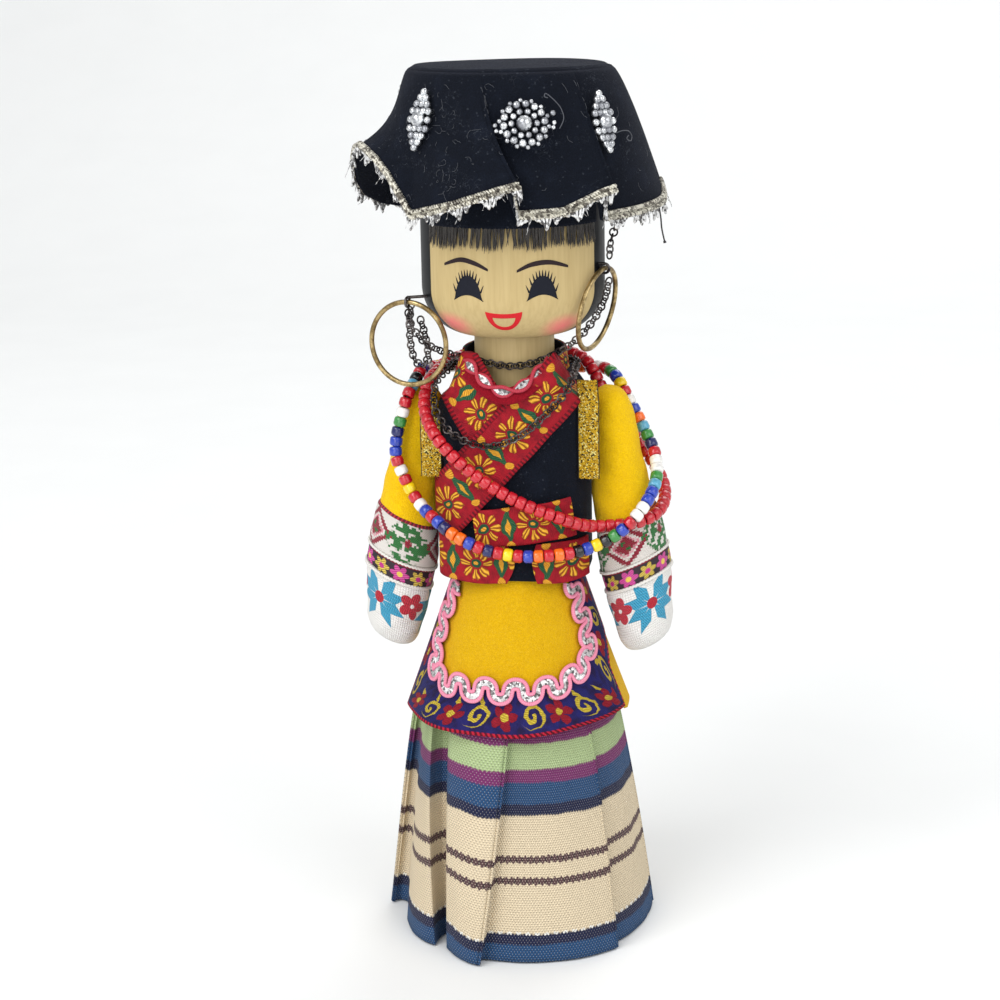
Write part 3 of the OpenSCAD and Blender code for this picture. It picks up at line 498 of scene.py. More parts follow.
@dataclass(frozen=True)
class FlowerRibbon:
    """Red jacquard ribbon with woven yellow flowers and green leaves."""

    name: str = "red flower ribbon"
    red: Colour = rgb(158, 18, 34)
    dark: Colour = rgb(98, 10, 26)
    yellow: Colour = rgb(236, 178, 56)
    gold: Colour = rgb(190, 124, 30)
    green: Colour = rgb(24, 74, 50)
    pitch: float = 13.0
    half: float = 6.6

    def material(self) -> Finish:
        """Builds the finish; a flower's edge is a radius that swings with the cosine of eight lobes."""
        g = Graph(self.name)
        flat_u, flat_v = g.flat()
        u = flat_u + (g.noise(g.vector(flat_u, flat_v), 0.3, 1.0) - 0.5) * 1.8
        v = flat_v + (g.noise(g.vector(flat_u + 40.0, flat_v), 0.3, 1.0) - 0.5) * 1.8
        across = u.cell(self.pitch)
        far = across.far(v)
        turn = v.bearing(across)
        lobe = (turn * 4.0).cos().size()
        fray = (g.specks(g.vector(flat_u, flat_v), 1.3) - 0.5) * 0.5
        petal = (lobe.power(0.45) * 3.2 + 1.4 - far + fray).step(-0.1, 0.15)
        petal = petal * lobe.step(0.3, 0.45) * far.step(1.5, 1.8)
        fan = -(turn * 24.0).cos()
        eye = far.step(1.35, 1.1)
        heart = far.step(0.6, 0.45)
        side = u.cell(self.pitch, 0.5)
        leaf = (side.size() / 2.1 + v.size() / 5.2).step(1.0, 0.92)
        seed = (side.size() / 0.8 + v.size() / 2.6).step(1.0, 0.9)
        bud = side.far(v.size() - 5.0).step(1.25, 1.05)
        hatch = (u + v).wave(0.62)
        rib = u.wave(0.42)
        edge = flat_v.size().step(self.half - 0.8, self.half - 0.5)
        picot = flat_u.wave(1.1)
        cloth = g.mix(g.noise(g.vector(u, v), 0.5, 3.0).step(0.35, 0.75) * 0.6, self.red, self.dark)
        thread = g.mix(hatch.step(-0.2, 0.8), self.gold, self.yellow)
        bright = g.mix(fan.step(-0.2, 0.8), self.gold, self.yellow)
        colour = g.paint(
            cloth,
            (leaf, g.mix(hatch.step(0.2, 0.9) * 0.5, self.green, rgb(84, 128, 76))),
            (seed, thread),
            (bud, thread),
            (petal, g.mix(fan.step(-0.95, -0.35), rgb(128, 62, 24), bright)),
            (eye, self.green),
            (heart, thread),
            (edge, g.mix(picot.step(-0.3, 0.3), self.dark, self.red)),
        )
        raised = petal.most(leaf).most(bud)
        height = rib * 0.15 + raised * (0.8 + fan * 0.3) + edge * (0.6 + picot * 0.3)
        return g.done(colour, 0.66, height, 0.25, Specular_IOR_Level=0.2)


@dataclass(frozen=True)
class BorderRibbon:
    """Blue ribbon with red five-petal flowers, yellow scrolls and a red oversewn edge."""

    name: str = "blue border ribbon"
    blue: Colour = rgb(30, 28, 94)
    night: Colour = rgb(26, 14, 58)
    red: Colour = rgb(142, 20, 38)
    yellow: Colour = rgb(214, 192, 70)
    pitch: float = 16.0

    def material(self) -> Finish:
        """Builds the finish; v is measured from the oversewn edge."""
        g = Graph(self.name)
        flat_u, flat_v = g.flat()
        u = flat_u + (g.noise(g.vector(flat_u, flat_v), 0.4, 2.0) - 0.5) * 2.0
        v = flat_v + (g.noise(g.vector(flat_u + 40.0, flat_v), 0.4, 2.0) - 0.5) * 1.6
        mid = v - 5.4
        across = u.cell(self.pitch)
        far = across.far(mid)
        lobe = (mid.bearing(across) * 2.5).cos().size()
        flower = (lobe.power(0.6) * 2.6 + 1.3 - far).step(-0.15, 0.15)
        eye = far.step(1.2, 1.0)
        side = u.cell(self.pitch, 0.5)
        turn = mid.bearing(side)
        ring = side.far(mid)
        coil = (ring / 2.5 + turn / TURN).turns()
        scroll = coil.step(-0.1, 0.25) * ring.step(3.6, 3.3)
        leaf_x = u.cell(self.pitch / 2.0, 0.5) + (v - 9.4) * 0.6
        leaf = (leaf_x.size() / 0.9 + (v - 9.6).size() / 2.3).step(1.0, 0.85)
        hatch = (u * 0.35 + v).wave(0.6)
        rib = u.wave(0.45)
        sewn = flat_v.step(1.1, 0.8)
        zig = (flat_u / 1.3 + flat_v * 0.5).turns()
        cloth = g.mix(g.noise(g.vector(u, v), 0.35, 3.0).step(0.35, 0.7), self.blue, self.night)
        gold = g.mix(hatch.step(0.0, 0.9), rgb(176, 150, 44), self.yellow)
        colour = g.paint(
            cloth,
            (leaf, gold),
            (scroll, gold),
            (flower, g.mix(hatch.step(0.2, 0.9) * 0.6, self.red, rgb(112, 16, 40))),
            (eye, gold),
            (sewn, g.mix(zig.step(-0.5, 0.3), rgb(96, 12, 34), rgb(196, 32, 56))),
        )
        raised = flower.most(scroll).most(leaf)
        return g.done(colour, 0.7, rib * 0.15 + raised * (0.7 + hatch * 0.3) + sewn * zig, 0.25, Specular_IOR_Level=0.2)


@dataclass(frozen=True)
class DiamondWeave:
    """White cuff with cross-stitched red diamonds and green sprigs."""

    name: str = "diamond cuff cloth"
    white: Colour = rgb(224, 219, 212)
    red: Colour = rgb(150, 18, 46)
    green: Colour = rgb(34, 116, 52)
    pitch: float = 21.0
    tall: float = 11.4

    def material(self) -> Finish:
        """Builds the finish; stitches are cells, and a diamond is the sum of the two distances."""
        g = Graph(self.name)
        u, v = g.flat()
        stitch = 0.58
        us = ((u / stitch).floor() + 0.5) * stitch
        vs = ((v / stitch).floor() + 0.5) * stitch
        mid = vs - self.tall / 2.0 - 0.2
        across = us.cell(self.pitch)
        ring = across.size() / 6.3 + mid.size() / 5.4
        red = ring.band(0.74, 1.02, 0.02).most(ring.step(0.5, 0.46))
        pink = ring.band(0.5, 0.6, 0.02)
        knot = ((across * 1.9).sin() * (mid * 1.9).sin()).step(0.3, 0.45) * ring.step(0.42, 0.36)
        side = us.cell(self.pitch, 0.5)
        sprig_ring = side.size() / 6.8 + mid.size() / 8.6
        sprig = g.noise(g.vector(us, vs), 0.62, 2.0).step(0.45, 0.47) * sprig_ring.step(1.02, 0.96)
        heart = sprig_ring.step(0.2, 0.14)
        cross = (u + v).wave(stitch) * 0.5 + (u - v).wave(stitch) * 0.5
        top = v.step(0.9, 0.7)
        loops = (u / 1.1 + v * 0.4).turns()
        cloth = g.mix(g.noise(g.vector(u, v), 1.2, 3.0) * 0.35, self.white, rgb(196, 188, 184))
        colour = g.paint(
            cloth,
            (pink, rgb(214, 130, 146)),
            (red, g.mix(cross.step(0.0, 0.8) * 0.4, self.red, rgb(196, 60, 84))),
            (knot, self.green),
            (sprig, g.mix(cross.step(0.0, 0.8) * 0.5, self.green, rgb(96, 168, 92))),
            (heart, self.red),
            (top, g.mix(loops.step(-0.4, 0.3), rgb(110, 16, 40), rgb(186, 40, 62))),
        )
        return g.done(colour, 0.8, cross * (0.4 + red.most(sprig) * 0.5) + top * loops, 0.2, Sheen_Weight=0.1)


@dataclass(frozen=True)
class NightFlowers:
    """Narrow black ribbon with magenta and yellow flowers."""

    name: str = "dark floral ribbon"
    black: Colour = rgb(24, 18, 26)
    magenta: Colour = rgb(186, 40, 130)
    yellow: Colour = rgb(226, 200, 84)
    red: Colour = rgb(150, 26, 48)
    pitch: float = 9.6

    def material(self) -> Finish:
        """Builds the finish from two flowers in each repeat."""
        g = Graph(self.name)
        u, v = g.flat()
        mid = v - 3.1
        masks, hearts = [], []
        for shift, size in ((0.0, 1.35), (0.5, 1.15)):
            across = u.cell(self.pitch, shift)
            far = across.far(mid)
            lobe = (mid.bearing(across) * 3.0 + shift).cos().size()
            masks.append((lobe * 1.1 + size - far).step(-0.12, 0.12))
            hearts.append(far.step(0.8, 0.65))
        hatch = (u * 0.4 + v).wave(0.55)
        top = v.step(0.8, 0.6)
        foot = v.step(5.0, 5.2)
        colour = g.paint(
            g.mix(g.noise(g.vector(u, v), 1.0, 2.0) * 0.5, self.black, rgb(60, 30, 50)),
            (masks[0], g.mix(hatch.step(0.1, 0.9) * 0.7, self.magenta, rgb(224, 120, 180))),
            (masks[1], g.mix(hatch.step(-0.6, 0.2), rgb(140, 112, 40), self.yellow)),
            (hearts[0], self.yellow),
            (hearts[1], self.magenta),
            (top, self.red),
            (foot, rgb(222, 216, 210)),
        )
        return g.done(colour, 0.66, masks[0].most(masks[1]) * (0.7 + 0.3 * hatch) + top, 0.2)


@dataclass(frozen=True)
class HandWeave:
    """White hand end with turquoise leaves and red flowers."""

    name: str = "hand cloth"
    white: Colour = rgb(238, 236, 232)
    blue: Colour = rgb(30, 140, 180)
    red: Colour = rgb(176, 16, 40)
    pitch: float = 19.0

    def material(self) -> Finish:
        """Builds the finish; leaves are narrow slanted diamonds that meet at a small red flower."""
        g = Graph(self.name)
        u, v = g.flat()
        mid = v - 6.6
        across = u.cell(self.pitch)
        leaves = None
        for slope in (-1.0, -0.35, 0.35, 1.0):
            along = across * np.cos(slope) + mid * np.sin(slope)
            off = mid * np.cos(slope) - across * np.sin(slope)
            leaf = ((along.size() - 4.4).size() / 4.0 + off.size() / 1.75).step(1.0, 0.9)
            leaves = leaf if leaves is None else leaves.most(leaf)
        far = across.far(mid)
        bud = far.step(1.6, 1.4)
        side = u.cell(self.pitch, 0.5)
        ring = side.far(mid + 1.0)
        lobe = ((mid + 1.0).bearing(side) * 2.5).cos().size()
        bloom = (lobe * 1.7 + 2.3 - ring).step(-0.15, 0.15)
        hatch = (u - v * 0.6).wave(0.6)
        weave = u.wave(0.7) * 0.4 + v.wave(0.7) * 0.4
        cloth = g.mix(g.noise(g.vector(u, v), 1.0, 3.0) * 0.4, self.white, rgb(206, 202, 198))
        colour = g.paint(
            cloth,
            (leaves, g.mix(hatch.step(0.2, 0.9) * 0.5, self.blue, rgb(120, 200, 220))),
            (bloom, g.mix(hatch.step(0.3, 0.9) * 0.45, self.red, rgb(232, 96, 110))),
            (bud, self.red),
            (bloom * ring.step(0.7, 0.5), self.white),
        )
        return g.done(colour, 0.82, weave + leaves.most(bloom) * (0.7 + hatch * 0.3), 0.18, Sheen_Weight=0.1)


@dataclass(frozen=True)
class GoldTrim:
    """Glittering gold trim with dark edges."""

    name: str = "gold trim"
    gold: Colour = rgb(250, 206, 40)
    half: float = 2.5

    def material(self) -> Finish:
        """Builds the finish from glittering cells between black edges."""
        g = Graph(self.name)
        u, v = g.flat()
        spark = g.specks(g.vector(u, v), 3.2)
        net = ((u + v).wave(1.3) * (u - v).wave(1.3)).size()
        edge = v.size().step(self.half - 0.35, self.half - 0.15)
        colour = g.paint(
            g.mix(spark, rgb(176, 122, 10), self.gold),
            (spark.step(0.8, 0.86), rgb(255, 240, 150)),
            (spark.step(0.2, 0.14), rgb(52, 38, 14)),
            (edge, rgb(22, 20, 24)),
        )
        g.feed(g.surface.inputs["Metallic"], 0.4 * (1.0 - edge))
        return g.done(colour, 0.3 + 0.4 * edge, net + spark, 0.25)


@dataclass(frozen=True)
class MetalThread:
    """Flat metallic thread, bright and crumpled."""

    name: str = "silver thread"
    light: Colour = rgb(232, 232, 232)
    dark: Colour = rgb(92, 90, 90)

    def material(self) -> Finish:
        """Builds the finish with bright and dark facets along the thread."""
        g = Graph(self.name)
        spot = g.spot()
        facet = g.specks(spot, 1.5)
        soil = g.noise(spot, 0.6, 3.0)
        colour = g.mix(facet.step(0.12, 0.7), self.dark, self.light)
        colour = g.mix(soil.step(0.6, 0.8) * 0.4, colour, rgb(170, 156, 124))
        return g.done(colour, 0.3, facet + soil, 0.12, Metallic=0.4)


@dataclass(frozen=True)
class Cord:
    """Matt coloured cord with a wound thread on it."""

    name: str
    colour: Colour
    shade: Colour
    pitch: float = 0.5

    def material(self) -> Finish:
        """Builds the finish; u runs along the cord and v round it."""
        g = Graph(self.name)
        u, v = g.flat()
        wind = (u / self.pitch + v * 0.5).turns()
        fluff = g.noise(g.spot(), 2.0, 3.0)
        colour = g.mix(wind.step(-0.2, -0.9) * 0.4 + fluff * 0.35, self.colour, self.shade)
        return g.done(colour, 0.6, wind * 0.5 + fluff, 0.06)


@dataclass(frozen=True)
class Glass:
    """Opaque glossy moulded bead."""

    name: str
    colour: Colour

    def material(self) -> Finish:
        """Builds the finish with faint cloudy streaks."""
        g = Graph(self.name)
        cloud = g.noise(g.spot(), 0.5, 3.0, 0.5)
        shade = tuple(0.55 * c for c in self.colour[:3]) + (1.0,)
        colour = g.mix(cloud.step(0.45, 0.8) * 0.7, self.colour, shade)
        return g.done(colour, 0.14 + 0.1 * cloud, cloud, 0.02, Coat_Weight=0.5, Coat_Roughness=0.06)


@dataclass(frozen=True)
class Metal:
    """Worn metal with tarnish in patches."""

    name: str
    bright: Colour
    tarnish: Colour
    rough: float = 0.35

    def material(self) -> Finish:
        """Builds the finish from two sizes of noise."""
        g = Graph(self.name)
        spot = g.spot()
        patch = g.noise(spot, 0.35, 4.0)
        fine = g.noise(spot, 2.2, 3.0)
        worn = (patch * 0.7 + fine * 0.3).step(0.36, 0.62)
        colour = g.mix(worn, self.bright, self.tarnish)
        return g.done(colour, self.rough + 0.2 * worn, fine, 0.05, Metallic=0.9)


@dataclass(frozen=True)
class Hair:
    """Stiff dark fibre of the fringe, dusty on top."""

    name: str = "fringe fibre"
    dark: Colour = rgb(26, 24, 26)
    dusty: Colour = rgb(128, 118, 104)

    def material(self) -> Finish:
        """Builds the finish; each strand has its own shade through u."""
        g = Graph(self.name)
        u, v = g.flat()
        own = ((u * 12.9898).sin() * 43758.5).frac()
        dust = g.noise(g.vector(u, v * 0.4), 1.0, 3.0)
        colour = g.mix(own.step(0.65, 1.0) * 0.55 + dust.step(0.5, 0.8) * 0.25, self.dark, self.dusty)
        return g.done(colour, 0.45, dust, 0.02)


class Mesher:
    """Gathers grids of points in millimetres and makes one welded object of them."""

    def __init__(self) -> None:
        self.points: list[Array] = []
        self.faces: list[Array] = []
        self.flats: list[Array] = []
        self.count = 0

    def grid(self, points: Array, flat: Array, keep: Array | None = None) -> "Mesher":
        """Adds one or more grids of quads.

        Args:
            points: Array of shape (..., rows, columns, 3).
            flat: Flat coordinates of the same points, shape (..., rows, columns, 2).
            keep: Mask of the quads to keep, shape (rows - 1, columns - 1), or None.

        Returns:
            This mesher.
        """
        rows, cols = points.shape[-3:-1]
        many = points.reshape(-1, rows, cols, 3)
        index = self.count + np.arange(many.shape[0] * rows * cols).reshape(-1, rows, cols)
        corners = np.stack([index[:, :-1, :-1], index[:, :-1, 1:], index[:, 1:, 1:], index[:, 1:, :-1]], axis=-1)
        if keep is not None:
            corners = corners[:, keep]
        self.points.append(many.reshape(-1, 3))
        self.flats.append(np.broadcast_to(flat, points.shape[:-1] + (2,)).reshape(-1, 2))
        self.faces.append(corners.reshape(-1, 4))
        self.count += many.shape[0] * rows * cols
        return self

    def sheet(
        self, points: Array, flat: Array, thick: float, closed: bool = False, keep: Array | None = None
    ) -> "Mesher":
        """Adds a cloth sheet of even thickness, closed all round.

        The back is the front moved along the cross product of the two grid directions.

        Args:
            points: Outer face, shape (rows, columns, 3).
            flat: Flat coordinates, shape (rows, columns, 2).
            thick: Thickness, taken inward.
            closed: True where the last column meets the first.
            keep: Mask of the quads to keep, or None.

        Returns:
            This mesher.
        """
        down = np.gradient(points, axis=0)
        if closed:
            ring = np.concatenate([points[:, -2:-1], points, points[:, 1:2]], axis=1)
            side = np.gradient(ring, axis=1)[:, 1:-1]
        else:
            side = np.gradient(points, axis=1)
        normal = unit(np.cross(side, down))
        normal *= np.sign(np.sum(normal * points * LEVEL)) or 1.0
        inner = points - normal * thick
        rows, cols = points.shape[:2]
        kept = np.ones((rows - 1, cols - 1), dtype=bool) if keep is None else keep
        front = self.count
        self.grid(points, flat, kept)
        back = self.count
        self.grid(inner, flat, kept)
        over = np.pad(kept, ((1, 1), (0, 0)))
        row, col = np.nonzero(over[1:] != over[:-1])
        spot = row * cols + col
        self.faces.append(joined(front + spot, front + spot + 1, back + spot + 1, back + spot))
        beside = np.pad(kept, ((0, 0), (1, 1)), mode="wrap" if closed else "constant")
        row, col = np.nonzero((beside[:, 1:] != beside[:, :-1])[:, : cols - 1 if closed else cols])
        spot = row * cols + col
        self.faces.append(joined(front + spot, front + spot + cols, back + spot + cols, back + spot))
        return self

    def tube(self, path: Array, radius: Array | float, sides: int, up: Array, ring: bool = False) -> "Mesher":
        """Adds one or more round cords along paths.

        Each ring is the path's point plus the radius times a turning mix of the two directions square to the path.

        Args:
            path: Points, shape (..., n, 3).
            radius: Radius along the path.
            sides: Number of sides.
            up: Direction that is never along the path, broadcast to the path.
            ring: True where the last point meets the first.

        Returns:
            This mesher.
        """
        if ring:
            wide = np.concatenate([path[..., -2:-1, :], path, path[..., 1:2, :]], axis=-2)
            along = np.gradient(wide, axis=-2)[..., 1:-1, :]
        else:
            along = np.gradient(path, axis=-2)
        along = unit(along)
        first = unit(np.cross(along, np.broadcast_to(up, path.shape)))
        second = np.cross(along, first)
        turn = np.linspace(0.0, TURN, sides + 1)
        reach = np.broadcast_to(radius, path.shape[:-1])[..., None, None]
        circle = first[..., None, :] * np.cos(turn)[:, None] + second[..., None, :] * np.sin(turn)[:, None]
        points = path[..., None, :] + reach * circle
        step = np.linalg.norm(np.diff(path, axis=-2), axis=-1)
        run = np.concatenate([np.zeros(step.shape[:-1] + (1,)), np.cumsum(step, axis=-1)], axis=-1)
        flat = joined(run[..., None], turn / TURN)
        if not ring:
            ends = np.broadcast_to(path[..., None, :], points.shape)
            points = np.concatenate([ends[..., :1, :, :], points, ends[..., -1:, :, :]], axis=-3)
            flat = np.concatenate([flat[..., :1, :, :], flat, flat[..., -1:, :, :]], axis=-3)
        return self.grid(points, flat)

    def build(self, name: str, finish: Finish, weld: float = 0.002) -> Thing:
        """Makes the object with smooth faces turned outward.

        Args:
            name: Piece name.
            finish: Material.
            weld: Distance in millimetres under which points become one.

        Returns:
            The linked object.
        """
        mesh = bpy.data.meshes.new(name)
        faces = np.concatenate(self.faces)
        mesh.from_pydata((np.concatenate(self.points) * MM).tolist(), [], faces.tolist())
        layer = mesh.uv_layers.new(name="cloth")
        flat = np.concatenate(self.flats)[faces.ravel()]
        layer.data.foreach_set("uv", flat.astype(np.float32).ravel())
        work = bmesh.new()
        work.from_mesh(mesh)
        bmesh.ops.remove_doubles(work, verts=work.verts, dist=weld * MM)
        bmesh.ops.recalc_face_normals(work, faces=work.faces)
        work.to_mesh(mesh)
        work.free()
        mesh.polygons.foreach_set("use_smooth", np.ones(len(mesh.polygons), dtype=bool))
        mesh.materials.append(finish)
        thing = bpy.data.objects.new(name, mesh)
        bpy.context.scene.collection.objects.link(thing)
        return thing


def joined(*parts: Array | float) -> Array:
    """Joins values, spread to one shape, along a new last axis."""
    return np.stack(np.broadcast_arrays(*parts), axis=-1)


def unit(vectors: Array) -> Array:
    """Gives the vectors of the last axis a length of one."""
    return vectors / np.maximum(np.linalg.norm(vectors, axis=-1, keepdims=True), TINY)


def around(angle: Array | float, radius: Array | float, height: Array | float) -> Array:
    """Gives points at an angle, a distance from the axis and a height."""
    turn = np.radians(angle)
    return joined(radius * np.sin(turn), -radius * np.cos(turn), height)


def smooth(points: Sequence[Sequence[float]], steps: int, ring: bool) -> Array:
    """Gives a Catmull-Rom curve through points: a cubic in each gap with slopes from the neighbours."""
    knots = np.asarray(points, dtype=float)
    count = len(knots)
    gaps = np.arange(count if ring else count - 1)
    spots = [(gaps + k) % count if ring else np.clip(gaps + k, 0, count - 1) for k in (-1, 0, 1, 2)]
    a, b, c, d = (knots[s][:, None, :] for s in spots)
    t = (np.arange(steps) / steps)[None, :, None]
    curve = 0.5 * (2 * b + (c - a) * t + (2 * a - 5 * b + 4 * c - d) * t**2 + (3 * b - a - 3 * c + d) * t**3)
    last = knots[:1] if ring else knots[-1:]
    return np.concatenate([curve.reshape(-1, knots.shape[1]), last])


def run_of(curve: Array) -> Array:
    """Gives the distance along a curve at each of its points."""
    return np.concatenate([[0.0], np.cumsum(np.linalg.norm(np.diff(curve, axis=0), axis=1))])


def look_up(places: Array, run: Array, rows: Array) -> Array:
    """Gives the rows at the given distances along their run."""
    return np.stack([np.interp(places, run, column) for column in rows.T], axis=-1)


def spaced(curve: Array, places: Array) -> Array:
    """Gives the points of a curve at the given distances along it."""
    return look_up(places, run_of(curve), curve)


def closed_way(
    knots: Sequence[Sequence[float]], edge_of: Callable[[Array], Array], columns: int, blur: int
) -> tuple[list[Array], Array]:
    """Follows folded cloth once round the doll at even steps, with its corners blurred by a bell curve.

    Args:
        knots: One row for each corner of the cloth; the first two columns are angles.
        edge_of: Gives the hem's points for such rows.
        columns: Number of steps.
        blur: Number of points in the bell curve.

    Returns:
        Each column of the knots at the steps, and the distance along the hem.
    """
    wrap, pad = 6, 24
    table = np.array(knots, dtype=float)
    turn = np.where(np.arange(table.shape[1]) < 2, 360.0, 0.0)
    table = np.concatenate([table[-wrap:] - turn, table, table[:wrap] + turn])
    run = run_of(edge_of(table))
    first, last = run[wrap], run[-wrap]
    place = first + (last - first) * np.arange(-pad, columns + pad + 1) / columns
    bell = np.exp(-(np.linspace(-2.0, 2.0, blur) ** 2))
    bell /= bell.sum()
    ways = [np.convolve(np.interp(place, run, column), bell, mode="same")[pad:-pad] for column in table.T]
    return ways, place[pad:-pad] - first


def points_of(thing: Thing) -> Array:
    """Gives a piece's points in millimetres."""
    place = np.empty(len(thing.data.vertices) * 3)
    thing.data.vertices.foreach_get("co", place)
    return place.reshape(-1, 3) / MM


def length_of(curve: Array) -> float:
    """Gives the length of a curve."""
    return float(np.sum(np.linalg.norm(np.diff(curve, axis=0), axis=1)))


def settle(thing: Thing, body: Body, slot: str, *nodes: str) -> Thing:
    """Fixes a piece to its body and lets it stand for CAD nodes."""
    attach(thing, body.value)
    if nodes:
        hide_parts(*nodes)
    LOG.info("piece %s rides on %s", thing.name, body.value)
    return thing


def dress(finish: Finish, *nodes: str) -> None:
    """Gives CAD nodes that stay in view their finish."""
    for name in nodes:
        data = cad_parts[name].data
        data.materials.clear()
        data.materials.append(finish)
        LOG.info("node %s takes %s", name, finish.name)


@dataclass
class Skirt:
    """The pleated skirt, its waist tape and the wooden core below."""

    top_z: float = 92.0
    top_r: float = 16.5
    hip_z: float = 60.5
    hip_r: float = 25.4
    hem_z: float = 0.5
    hem_r: float = 35.0
    thick: float = 0.9
    columns: int = 1100
    rows: int = 44
    tape_r: float = 15.4
    tape_low: float = 89.0
    tape_high: float = 92.0
    # Way of the cloth along the hem: angle at the hem, angle at the hip, radius at the hem
    pleats: tuple[tuple[float, float, float], ...] = (
        (-100, -100, 32.4), (-92, -94, 36.0), (-86, -90, 37.0), (-89, -93, 34.8), (-87, -92, 32.6), (-78, -84, 31.4),
        (-66, -76, 33.2), (-52, -66, 34.8), (-39, -60, 35.4), (-34.5, -56, 35.2), (-38.5, -57.5, 31.5),
        (-41, -57, 28.0), (-39.5, -53, 25.7), (-36.5, -48.5, 25.5), (-35, -46, 28.0), (-32.5, -43, 31.8),
        (-29, -37, 34.6), (-21, -22, 37.4), (-14, -7, 39.5), (-8.5, 2, 40.6), (-10.5, 0, 38.4), (-9, 2, 36.6),
        (0, 9, 36.6), (15, 21, 37.6), (34, 37, 38.0), (46, 47, 38.4), (49.5, 51, 38.2), (47, 49, 36.6),
        (50, 52, 35.2), (66, 67, 35.2), (84, 84, 34.8), (96, 96, 35.8), (100.5, 100, 36.0), (97.5, 98, 34.0),
        (103, 103, 32.8), (124, 124, 33.4), (143, 143, 35.8), (148, 148, 36.0), (145, 145, 34.2), (151, 151, 33.0),
        (172, 172, 33.6), (193, 193, 36.0), (198, 198, 36.2), (195, 195, 34.2), (201, 201, 33.0), (222, 222, 33.4),
        (241, 241, 35.4), (246, 246, 35.4), (243, 243, 33.4), (249, 249, 31.8),
    )

    def surface(self) -> tuple[Array, Array]:
        """Gives the outer face: the pleated way of the hem, drawn in to the hip and then to the waist tape."""
        ways, around_hem = closed_way(self.pleats, lambda rows: around(rows[:, 0], rows[:, 2], 0.0), self.columns, 9)
        hem_angle, hip_angle, hem_r = ways
        share = np.linspace(0.0, 1.0, self.rows) ** 0.9
        z = (self.top_z + (self.hem_z - self.top_z) * share)[:, None]
        low = np.clip((self.hip_z - z) / (self.hip_z - self.hem_z), 0.0, 1.0)
        high = np.clip((self.top_z - z) / (self.top_z - self.hip_z), 0.0, 1.0)
        angle = hip_angle + (hem_angle - hip_angle) * low
        fold = hem_r - self.hem_r
        off = (hip_angle + 270.0) % 360.0 - 180.0
        hip = self.hip_r + 0.42 * fold + 2.0 * np.exp(-((off / 14.0) ** 2))
        upper = self.top_r + (hip - self.top_r) * high
        lower = hip + (hem_r - hip) * low**0.85
        lap = TURN * around_hem / around_hem[-1]
        gather = 0.3 * np.sin(lap * 36.0) * np.clip((z - 64.0) / 18.0, 0.0, 1.0)
        ripple = 0.16 * np.sin(lap * 15.0 + z * 0.07) * low
        radius = np.where(z > self.hip_z, upper, lower) + gather + ripple
        points = around(angle, radius, z)
        hang = 1.3 * np.exp(-(((angle + 12.0) / 9.0) ** 2)) * (radius > 36.9 - 9.5 * (1.0 - low))
        flat = joined(around_hem, z + hang * low)
        return points, flat

    def build(self) -> None:
        """Makes the skirt cloth and dresses the core."""
        points, flat = self.surface()
        cloth = Mesher().sheet(points, flat, self.thick, closed=True).build("skirt_cloth", StripedWeave().material())
        settle(cloth, Body.TORSO, "skirt_cloth", "skirt")
        dress(PaleWood().material(), "foot", "body_peg", "shoulder_dowel", "arm_core_left", "arm_core_right")
        tape = Cord("white cotton tape", rgb(222, 218, 208), rgb(180, 172, 160)).material()
        height = np.linspace(self.tape_low, self.tape_high, 7)[:, None]
        angle = np.linspace(0.0, 360.0, 121)
        face = around(angle, self.tape_r + 0.05 * np.sin(np.radians(angle) * 40.0), height)
        flat = joined(np.radians(angle) * self.tape_r, height)
        band = Mesher().sheet(face, flat, 0.7, closed=True).build("waist_band", tape)
        settle(band, Body.TORSO, "tape", "waist_tape")


